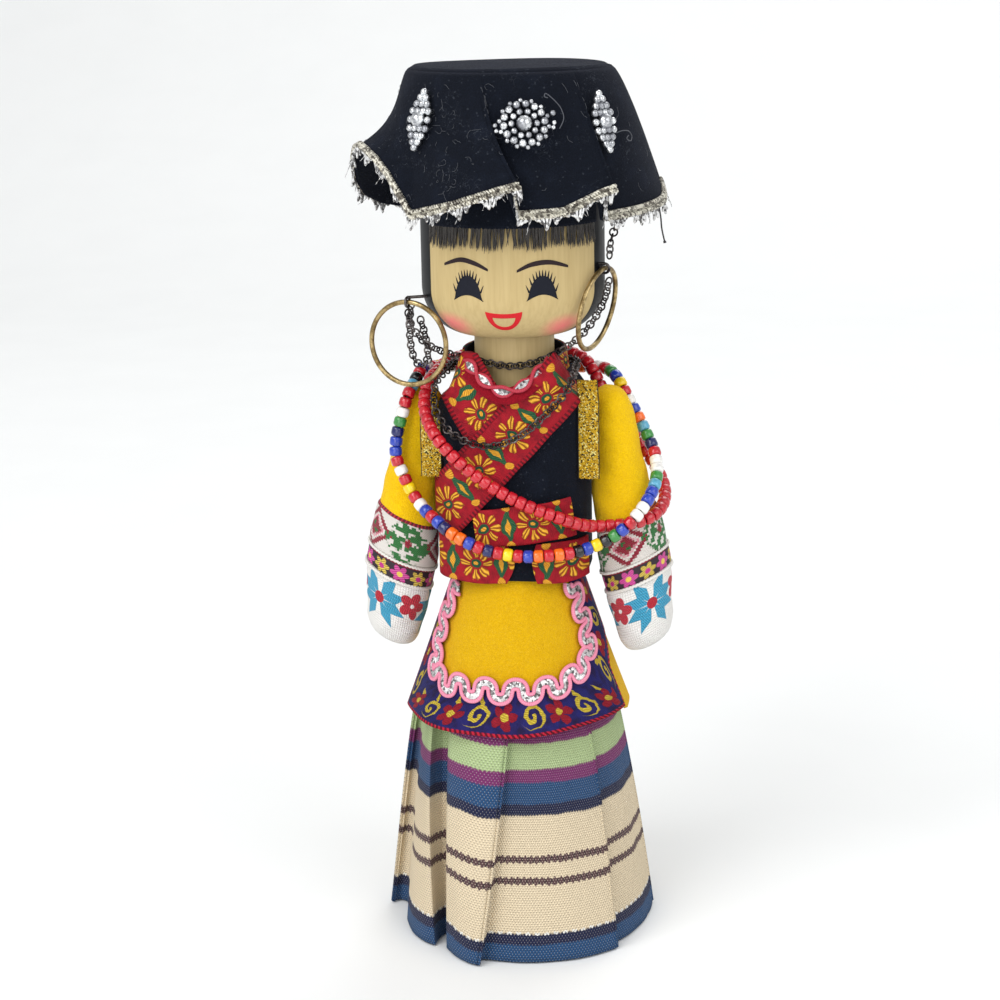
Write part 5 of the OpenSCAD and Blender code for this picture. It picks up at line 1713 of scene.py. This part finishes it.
@dataclass
class Hat:
    """The velvet hat: flat top, draped skirt and silver braid."""

    top_r: float = 25.8
    brim_r: float = 37.5
    high: float = 228.9
    low: float = 195.9
    top_z: float = 230.1
    disc_r: float = 25.75
    disc_path: float = 26.6
    disc_bend: float = 24.3
    thick: float = 1.0
    columns: int = 1100
    rows: int = 44
    twist_pitch: float = 1.5
    loop_pitch: float = 1.25
    fan_pitch: float = 8.0
    loose_ends: int = 120
    lint_count: int = 230
    # Way of the cloth along the hem: angle at the hem, angle at the top, fold and lift at the hem
    drape: tuple[tuple[float, float, float, float], ...] = (
        (-128, -128, -2.5, -3.0), (-118, -118, 0.4, -4.0), (-110, -110, 2.4, -2.6), (-102, -102, 4.0, 0.0),
        (-95, -96, 4.2, 4.0), (-88, -90, 3.4, 10.0), (-81, -84, 2.2, 13.5), (-73, -77, 1.4, 14.5),
        (-64, -70, 0.6, 13.5), (-55, -62, 0.0, 11.5), (-47, -55, -0.4, 8.0), (-40, -49, -0.6, 3.0),
        (-34, -43, -0.8, -2.0), (-14, -26, 0.6, 1.2), (4, -12, 1.6, 5.2), (11.5, -8, 2.2, 6.6),
        (9, -7.6, -0.6, 4.0), (11, -7, -2.8, -1.6), (28, 24, -1.2, -1.0), (42, 38, 1.2, 3.4), (48.5, 43, 2.0, 4.6),
        (46, 43.4, -0.6, 2.0), (48.5, 44, -3.0, -3.2), (68, 66, -1.0, -2.6), (92, 91, 1.2, -1.6),
        (109, 108, 1.8, 2.2), (106, 108.4, -0.6, 0.6), (109, 109, -2.6, -2.0), (150, 150, -0.6, -1.2),
        (173, 172, 1.8, 2.2), (170, 172.4, -0.6, 0.6), (173, 173, -2.6, -2.0), (209, 208, 1.0, 0.6),
        (206, 208.4, -0.8, -0.6), (209, 209, -2.6, -2.0),
    )

    def hem_of(self, rows: Array) -> Array:
        """Gives the hem's points for rows of the drape's way."""
        return around(rows[:, 0], self.brim_r + rows[:, 2], self.low + rows[:, 3])

    def slope(self, share: Array | float) -> tuple[Array | float, Array | float]:
        """Gives radius and height of the plain hat, without folds, at a share of its drop."""
        return self.top_r + (self.brim_r - self.top_r) * share**0.7, self.high + (self.low - self.high) * share

    def hang(self, share: Array | float, out: float = 0.0) -> Array:
        """Gives the drape at a share of its drop: a dome whose folds and lifts grow to the hem."""
        hem, top, fold, lift = closed_way(self.drape, self.hem_of, self.columns, 11)[0]
        share = np.asarray(share, dtype=float)
        angle = top + (hem - top) * share
        pinch = 3.0 * np.exp(-(((top + 84.0) / 24.0) ** 2)) * np.sin(np.pi * share)
        radius, height = self.slope(share)
        return around(angle, radius + fold * share**1.15 + out - pinch, height + lift * share**1.6)

    def velvet(self) -> None:
        """Makes the top and the drape."""
        pile = Velvet().material()
        share = np.linspace(0.0, 1.0, self.rows)[:, None]
        points = self.hang(share)
        flat = joined(np.linspace(0.0, 240.0, self.columns + 1), share * 36.0)
        drape = Mesher().sheet(points, flat, self.thick, closed=True).build("hat_drape", pile)
        settle(drape, Body.HEAD, "black_velvet", "hat_veil")
        spread = np.linspace(0.0, 1.0, 24)[:, None]
        radius = np.minimum(spread * self.disc_path, self.disc_r)
        edge = np.clip((spread * self.disc_path - self.disc_bend) / 1.6, 0.0, 1.0)
        dome = self.top_z - 0.5 * (radius / self.top_r) ** 2 - edge**2 * 1.3
        ring = np.linspace(0.0, 360.0, 181)
        face = around(ring, radius, dome + 0.12 * np.sin(np.radians(ring) * 3.0) * spread)
        under = around(ring, radius[::-1], self.high - 0.6)
        flat = joined(radius, ring)
        disc = Mesher().grid(face, flat).grid(under, flat)
        wall = np.stack([face[-1], under[0]])
        disc.grid(wall, np.stack([flat[-1], flat[0]]))
        settle(disc.build("hat_crown", pile), Body.HEAD, "black_velvet", "hat_top")

    def braid(self) -> None:
        """Makes the silver braid: two twisted cords, a lace of loops below and loose thread ends."""
        rng = np.random.default_rng(11)
        silver = MetalThread().material()
        lower = self.hang(0.99, 0.4)
        upper = self.hang(0.952, 0.4)
        fine = np.linspace(0.0, 1.0, 2401) * length_of(lower)
        upper = spaced(upper, fine * (length_of(upper) / length_of(lower)))
        lower = spaced(lower, fine)
        run = run_of(lower)
        around_hem = run[-1]
        out = unit(lower * LEVEL)
        cords, work = Mesher(), Mesher()
        beats = round(around_hem / self.twist_pitch)
        rows = np.linspace(0.94, 1.0, 5)[:, None]
        cords.sheet(self.hang(rows, 0.3), joined(np.arange(self.columns + 1), rows), 0.3, closed=True)
        for base, phase in ((upper, 0.0), (lower, np.pi)):
            twist = TURN * beats * run / around_hem + phase
            for shift in (0.0, np.pi):
                path = base + out * (0.32 * np.sin(twist + shift))[:, None]
                path = path + UPRIGHT * (0.32 * np.cos(twist + shift))[:, None]
                path[-1] = path[0]
                cords.tube(path, 0.32, 6, UPRIGHT, ring=True)
        beige = MetalThread("beige and silver thread", rgb(214, 210, 196), rgb(88, 82, 74)).material()
        settle(cords.build("hat_braid_cords", beige, weld=0.0005), Body.HEAD, "silver_braid", "hat_braid")
        loops = int(around_hem / self.loop_pitch)
        place = (np.arange(loops) + rng.uniform(-0.25, 0.25, loops)) * self.loop_pitch + 0.6
        a, b = look_up(place - 0.55, run, lower), look_up(place + 0.55, run, lower)
        o = look_up(place, run, out)
        fans = round(around_hem / self.fan_pitch)
        phase = (place * fans / around_hem) % 1.0
        long = rng.uniform(0.5, 1.0, loops) + 2.7 * (1.0 - np.abs(2.0 * phase - 1.0)) ** 1.3
        s = np.linspace(0.0, 1.0, 9)
        bow = np.sin(np.pi * s)
        lean = rng.normal(0.0, 0.4, loops)[:, None, None]
        pull = ((0.5 - phase) * 2.4 + rng.normal(0.0, 0.3, loops))[:, None, None]
        path = a[:, None] + (b - a)[:, None] * s[:, None]
        path = path - UPRIGHT * (bow[None, :, None] * long[:, None, None])
        path = path + o[:, None] * (bow[None, :, None] * lean) + (b - a)[:, None] * (bow[:, None] * pull)
        work.tube(path, 0.3, 5, o[:, None] + np.array([0.01, 0.02, 0.03]))
        ends = self.loose_ends
        place = rng.uniform(0.0, around_hem, ends)
        root, o = look_up(place, run, lower), look_up(place, run, out)
        way = rng.normal(0.0, 0.5, (ends, 3)) - UPRIGHT + o * 0.35
        curl = rng.normal(0.0, 0.6, (ends, 3))
        long = rng.uniform(1.0, 2.6, ends)[:, None, None]
        s = np.linspace(0.0, 1.0, 6)[None, :, None]
        path = root[:, None] + way[:, None] * s * long + curl[:, None] * s**2 * long * 0.6
        work.tube(path, 0.13 * (1.0 - 0.6 * s[..., 0]), 4, o[:, None] + np.array([0.013, 0.021, 0.03]))
        lace = work.build("hat_silver_lace", silver, weld=0.0005)
        settle(lace, Body.HEAD, "silver_braid", "hat_braid")

    def stray(self) -> None:
        """Makes the loose black thread at the hat's right."""
        edge = self.hang(0.99, 0.3)
        start = edge[np.argmin(np.abs(np.degrees(np.arctan2(edge[:, 0], -edge[:, 1])) - 84.0))]
        route = start + np.array([[0, 0, 0], [0.5, -0.2, -3.0], [0.8, -0.4, -6.0], [1.6, -0.5, -9.5]])
        curve = smooth(route, 12, False)
        slim = np.where(np.linspace(0.0, 1.0, len(curve)) > 0.93, 0.42, 0.22)
        black = Cord("black thread", rgb(26, 24, 28), rgb(60, 56, 60)).material()
        thread = Mesher().tube(curve, slim, 6, np.array([1.0, 0.2, 0.0])).build("hat_loose_thread", black)
        settle(thread, Body.HEAD, "black_velvet")

    def lint(self) -> None:
        """Makes the pale fluff on the velvet: short curls laid on the drape, more of them in two streaks."""
        rng = np.random.default_rng(5)
        count = self.lint_count
        share = rng.uniform(0.12, 0.9, count)
        column = rng.integers(0, self.columns, count)
        streak = rng.random(count) < 0.5
        near = rng.choice([430, 330, 560], count) + rng.normal(0.0, 14.0, count)
        column = np.where(streak, near.astype(int), column)
        steps = np.linspace(0.0, 1.0, 10)
        turn = rng.uniform(0.0, TURN, count)[:, None] + rng.normal(0.0, 3.0, count)[:, None] * steps
        stride = rng.uniform(0.8, 3.4, count)[:, None] / 9.0
        along = np.cumsum(np.cos(turn) * stride, axis=1)
        down = np.cumsum(np.sin(turn) * stride, axis=1)
        at = np.clip(share[:, None] + down / 36.0, 0.05, 0.95)
        spot = (column[:, None] + along / 0.24) % self.columns
        fine = 70
        face = self.hang(np.linspace(0.0, 1.0, fine)[:, None], 0.14)
        path = face[np.rint(at * (fine - 1.0)).astype(int), np.rint(spot).astype(int)]
        eased = 0.25 * path[:, :-2] + 0.5 * path[:, 1:-1] + 0.25 * path[:, 2:]
        path = np.concatenate([path[:, :1], eased, path[:, -1:]], axis=1)
        path = path + np.array([1.0, 0.7, 0.4]) * (steps * 1e-3)[:, None]
        grey = Cord("grey lint", rgb(82, 85, 92), rgb(60, 62, 70)).material()
        up = np.array([0.31, 0.22, 0.92])
        work = Mesher().tube(path, 0.05, 4, up)
        for curl in (
            ((28.5, 0.40), (31.0, 0.33), (30.5, 0.26), (28.0, 0.20), (24.5, 0.15), (23.5, 0.17), (25.0, 0.18)),
            ((57.0, 0.46), (62.0, 0.45), (66.5, 0.46), (68.0, 0.50), (66.0, 0.53), (63.5, 0.51), (65.5, 0.49)),
        ):
            way = smooth(curl, 12, False)
            radius, height = self.slope(way[:, 1])
            work.tube(around(way[:, 0], radius + 1.5, height), 0.13, 5, up)
        fluff = work.build("hat_lint", grey, weld=0.0002)
        settle(fluff, Body.HEAD, "black_velvet")

    def ornament(self, name: str, angle: float, share: float, lean: float, balls: Array, finish: Finish) -> None:
        """Makes one silver medallion of round beads on a plate that leans with the drape.

        Args:
            name: CAD node it stands for, also the end of its own name.
            angle: Angle round the hat.
            share: Share of the drop at its middle.
            lean: How far its face looks up.
            balls: Rows of across, up, height and radius.
            finish: Silver finish.
        """
        radius, height = self.slope(share)
        hub = around(angle, radius + 1.1, height)
        turned, tipped = np.radians([angle, lean])
        side = np.array([np.cos(turned), np.sin(turned), 0.0])
        out = around(angle, np.cos(tipped), np.sin(tipped))
        up = np.cross(out, side)
        up = up * np.sign(up[2])
        tilt = np.linspace(0.0, np.pi, 9)[:, None]
        turn = np.linspace(0.0, TURN, 13)
        ball = joined(np.sin(tilt) * np.cos(turn), np.sin(tilt) * np.sin(turn), np.cos(tilt))
        centre = hub + balls[:, :1] * side + balls[:, 1:2] * up + balls[:, 2:3] * out
        points = centre[:, None, None, :] + ball * balls[:, 3][:, None, None, None]
        flat = joined(turn, tilt)
        piece = Mesher().grid(points, flat).build(f"silver_{name}", finish)
        settle(piece, Body.HEAD, "silver", name)

    def silver(self) -> None:
        """Makes the three medallions: two rings of beads round a boss, and two pointed clusters."""
        finish = Metal("cast silver", rgb(244, 246, 248), rgb(150, 152, 158), 0.1).material()
        rings = [(0.0, 0.0, 0.5, 2.0)]
        circles = ((10, 3.1, 0.35, 0.82, 0.0), (14, 5.0, 0.3, 0.98, 0.1), (14, 6.0, 0.1, 0.6, 0.32))
        for count, far, high, size, shift in circles:
            turn = np.arange(count) / count * TURN + shift
            rings += [(far * np.cos(t), far * np.sin(t), high, size) for t in turn]
        rings += [(-7.0, -0.2, 0.0, 0.6), (-6.8, -1.6, 0.0, 0.55)]
        rings += [(7.1, 2.6, 0.0, 0.75), (7.3, 0.2, 0.0, 0.6), (7.0, -1.0, 0.0, 0.6)]
        self.ornament("medallion_centre", 13.6, 0.36, 25.0, np.array(rings), finish)
        cluster = [(0.0, 0.0, 0.7, 1.9), (-2.9, 0.0, 0.3, 0.95), (2.9, 0.0, 0.3, 0.95)]
        for up, count, half in ((6.9, 1, 0.0), (5.5, 2, 0.85), (3.9, 3, 1.7), (2.15, 4, 2.6)):
            for sign in (-1.0, 1.0):
                cluster += [(x, sign * up, 0.3, 0.95) for x in np.linspace(-half, half, count)]
        for name, angle, share, lean in (("medallion_left", -35.0, 0.34, 17.0), ("medallion_right", 51.5, 0.375, 15.5)):
            self.ornament(name, angle, share, lean, np.array(cluster), finish)

    def build(self) -> None:
        """Makes all pieces of the hat."""
        self.velvet()
        self.braid()
        self.stray()
        self.lint()
        self.silver()


@dataclass
class Arm:
    """One stuffed arm: felt sleeve and three woven bands, on its own pivot."""

    side: Side
    pivot: tuple[float, float, float] = (25.0, 0.0, 140.0)
    tilt: float = 9.0
    slant: float = 16.0
    bands: tuple[float, float, float] = (28.0, 39.5, 45.0)
    shoulder: float = -7.5
    tip: float = 64.0
    cuff_out: float = 0.4
    outline: tuple[tuple[float, float], ...] = (
        (0.0, -7.5), (3.3, -6.2), (5.41, -3.0), (6.2, 4.0), (6.6, 14.0), (7.92, 26.0), (8.9, 36.0), (9.0, 43.0),
        (8.2, 50.0), (7.4, 57.0), (6.7, 60.3), (5.6, 62.5), (3.4, 63.7), (0.0, 64.0),
    )

    def reach(self, down: Array) -> Array:
        """Gives the arm's radius at a distance below the pivot."""
        table = np.array(self.outline)
        curve = smooth(table, 12, False)
        return np.interp(down, curve[:, 1], np.maximum(curve[:, 0], 0.0))

    def place(self, turn: Array, radius: Array, down: Array) -> Array:
        """Puts local angle, radius and depth in the doll's frame: tilt, move to the pivot, mirror for the left."""
        x, y, z = radius * np.cos(turn), radius * np.sin(turn), -down
        lean = np.radians(self.tilt)
        wide = self.pivot[0] + x * np.cos(lean) - z * np.sin(lean)
        tall = self.pivot[2] + x * np.sin(lean) + z * np.cos(lean)
        return joined(self.side.value * wide, self.pivot[1] + y, tall)

    def cut(self, turn: Array, down: Array | float) -> Array:
        """Gives the depth of a slanted seam: higher on the outer side."""
        return down - np.tan(np.radians(self.slant)) * self.reach(np.asarray(down, dtype=float)) * np.cos(turn)

    def band(
        self, name: str, first: float, last: float, out: float, finish: Finish, node: str, slot: str,
        shift: float = 0.0,
    ) -> None:
        """Makes one band of the arm between two seams.

        Args:
            name: Piece name.
            first: Depth of the upper seam, or below zero for the shoulder.
            last: Depth of the lower seam.
            out: Extra radius.
            finish: Cloth finish.
            node: CAD node it stands for.
            slot: Material slot of the record.
            shift: How far the pattern is moved round.
        """
        turn = np.linspace(-np.pi, np.pi, 145)[None, :]
        begin = self.cut(turn, first) if first > 0.0 else np.full(turn.shape, first)
        share = np.linspace(0.0, 1.0, 60)[:, None]
        cut_off = last < self.tip
        if cut_off:
            depth = down = begin + (self.cut(turn, last) - begin) * share
        else:
            depth = first + (last - first) * (1.0 - (1.0 - share) ** 2)
            down = self.cut(turn, depth)
        soft = np.clip(np.minimum(depth + 7.0, 63.5 - depth) / 4.0, 0.0, 1.0)
        rumple = 0.16 * np.sin(turn * 3.0 + down * 0.45) + 0.12 * np.sin(turn * 5.0 - down * 0.8 + self.side.value)
        radius = self.reach(depth) + (out + rumple * 0.7) * soft
        if first < 0.0 and self.side is Side.RIGHT:
            inner = np.clip(-np.cos(turn), 0.0, 1.0) ** 2
            radius = radius + 1.1 * inner * np.exp(-(((down - 17.0) / 10.0) ** 2))
        seam = np.minimum(share, 1.0 - share) * (last - first)
        closed = (first > 0.0) * (share < 0.5) + cut_off * (share >= 0.5)
        radius = radius - closed * 0.35 * np.exp(-((seam / 0.5) ** 2))
        points = self.place(turn, radius, down)
        flat = joined(turn * 8.4 * self.side.value + shift, down - begin)
        work = Mesher().grid(points, flat)
        for edge in (0, -1):
            hub = np.mean(points[edge, :-1], axis=0)
            ring = hub + (points[edge] - hub) * np.linspace(1.0, 0.0, 4)[:, None, None]
            work.grid(ring, np.broadcast_to(flat[edge], ring.shape[:-1] + (2,)))
        piece = work.build(f"{name}_{self.side.word}", finish)
        settle(piece, Body[f"ARM_{self.side.name}"], slot, node)

    def seams(self, thread: Finish) -> None:
        """Makes the white stitched lines between the bands: a cord laid along each slanted seam."""
        turn = np.linspace(0.0, TURN, 241)
        work = Mesher()
        for down, size in ((self.bands[1], 0.36), (self.bands[2], 0.42)):
            depth = self.cut(turn, down) + 0.12 * np.sin(turn * 60.0)
            path = self.place(turn, self.reach(depth) + self.cuff_out + 0.1, depth)
            work.tube(path, size, 6, np.array([0.16 * self.side.value, 0.0, 1.0]), ring=True)
        lines = work.build(f"cuff_stitches_{self.side.word}", thread)
        settle(lines, Body[f"ARM_{self.side.name}"], "hand_cloth")

    def build(self, finishes: dict[str, Finish]) -> None:
        """Makes the sleeve, the bands and the seams."""
        first, second, third = self.bands
        word = self.side.word
        self.band("sleeve_felt", self.shoulder, first + 0.6, 0.0, finishes["felt"], f"sleeve_{word}", "yellow_felt")
        out = self.cuff_out
        shift = 5.6 if self.side is Side.LEFT else 3.4
        diamond = finishes["diamond"]
        self.band("diamond_cuff", first, second, out, diamond, f"cuff_diamond_{word}", "diamond_cloth", shift)
        self.band("floral_band", second, third, out, finishes["floral"], f"cuff_floral_{word}", "floral_cloth")
        self.band("hand_end", third, self.tip, out, finishes["hand"], f"cuff_hand_{word}", "hand_cloth")
        self.seams(finishes["stitch"])


def aim(thing: Thing, side: Array, up: Array, ahead: Array, spot: Sequence[float]) -> None:
    """Turns a camera or a lamp to look ahead from a spot, and links it."""
    place = np.eye(4)
    place[:3] = np.stack([side, up, -ahead, spot], axis=-1)
    thing.matrix_world = Matrix(place.tolist())
    bpy.context.scene.collection.objects.link(thing)


@dataclass
class Studio:
    """Camera, floor and soft light that match the photograph."""

    away: float = 580.0
    high: float = 261.0
    azimuth: float = 8.0
    pitch: float = 14.049
    roll: float = 0.95
    lens: float = 81.2
    shift: float = -0.017
    floor_front: float = -1600.0
    floor_long: float = 4200.0
    floor_half: float = 3000.0
    backdrop: float = 1800.0

    def camera(self) -> None:
        """Places the camera from its azimuth, pitch and roll."""
        turn, dip, tip = np.radians([self.azimuth, self.pitch, self.roll])
        right = np.array([np.cos(turn), np.sin(turn), 0.0])
        ahead = np.array([-np.sin(turn) * np.cos(dip), np.cos(turn) * np.cos(dip), -np.sin(dip)])
        up = np.cross(right, ahead)
        tilted_right = right * np.cos(tip) - up * np.sin(tip)
        tilted_up = up * np.cos(tip) + right * np.sin(tip)
        spot = np.array([np.sin(turn) * self.away, -np.cos(turn) * self.away, self.high]) * MM
        data = bpy.data.cameras.new("camera")
        data.lens = self.lens
        data.sensor_width = 36.0
        data.shift_x = self.shift
        data.clip_start = 0.01
        camera = bpy.data.objects.new("camera", data)
        aim(camera, tilted_right, tilted_up, ahead, spot)
        bpy.context.scene.camera = camera

    def light(self, name: str, spot: tuple[float, float, float], size: float, watts: float) -> None:
        """Adds one soft square light that looks at the doll's middle."""
        data = bpy.data.lights.new(name, "AREA")
        data.size = size
        data.energy = watts
        ahead = unit(np.array([0.0, 0.0, 0.12]) - np.array(spot))
        side = unit(np.cross(ahead, UPRIGHT))
        aim(bpy.data.objects.new(name, data), side, np.cross(side, ahead), ahead, spot)

    def world(self) -> None:
        """Gives a plain pale surround."""
        world = bpy.data.worlds.new("surround")
        world.use_nodes = True
        colour, strength = world.node_tree.nodes["Background"].inputs[:2]
        colour.default_value = rgb(247, 248, 248)
        strength.default_value = 0.62
        bpy.context.scene.world = world

    def floor(self) -> None:
        """Makes the floor: a wide flat sheet that curves up behind as a backdrop."""
        run = np.linspace(0.0, 1.0, 60)
        y = self.floor_front + self.floor_long * run
        z = self.backdrop * np.clip((run - 0.62) / 0.38, 0.0, 1.0) ** 2
        x = np.linspace(-self.floor_half, self.floor_half, 13)[:, None]
        points = joined(x, y, z)
        g = Graph("pale floor")
        dust = g.noise(g.spot(), 0.02, 2.0)
        finish = g.done(g.mix(dust, rgb(245, 246, 246), rgb(241, 242, 242)), 0.7, Specular_IOR_Level=0.2)
        ground = Mesher().grid(points, joined(x, y)).build("floor", finish)

    def build(self) -> None:
        """Sets the whole studio."""
        self.camera()
        self.world()
        self.floor()
        self.light("key", (-0.9, -1.1, 1.4), 1.2, 18.0)
        self.light("fill", (1.2, -0.9, 1.0), 1.4, 10.5)
        self.light("low front", (-0.4, -1.5, 0.35), 1.0, 5.5)
        self.light("rim", (0.3, 1.2, 1.4), 1.0, 8.0)
        bpy.context.scene.view_settings.view_transform = "Standard"


def main() -> None:
    """Builds every piece and the studio."""
    logging.basicConfig(level=logging.INFO, format="%(message)s")
    Skirt().build()
    Tunic().build()
    Vest().build()
    Strands().build()
    Head().build()
    Hat().build()
    finishes = {
        # Painted light: the sleeves take the tunic's yellow felt in a lighter colour, so that they read as more
        # brightly lit.
        "felt": Felt("sleeve felt with painted light", rgb(252, 208, 8), rgb(230, 178, 2)).material(),
        "diamond": DiamondWeave().material(),
        "floral": NightFlowers().material(),
        "hand": HandWeave().material(),
        "stitch": Cord("white stitching", rgb(236, 234, 228), rgb(196, 190, 184)).material(),
    }
    for side in Side:
        Arm(side).build(finishes)
    Studio().build()


if __name__ == "__main__":
    main()
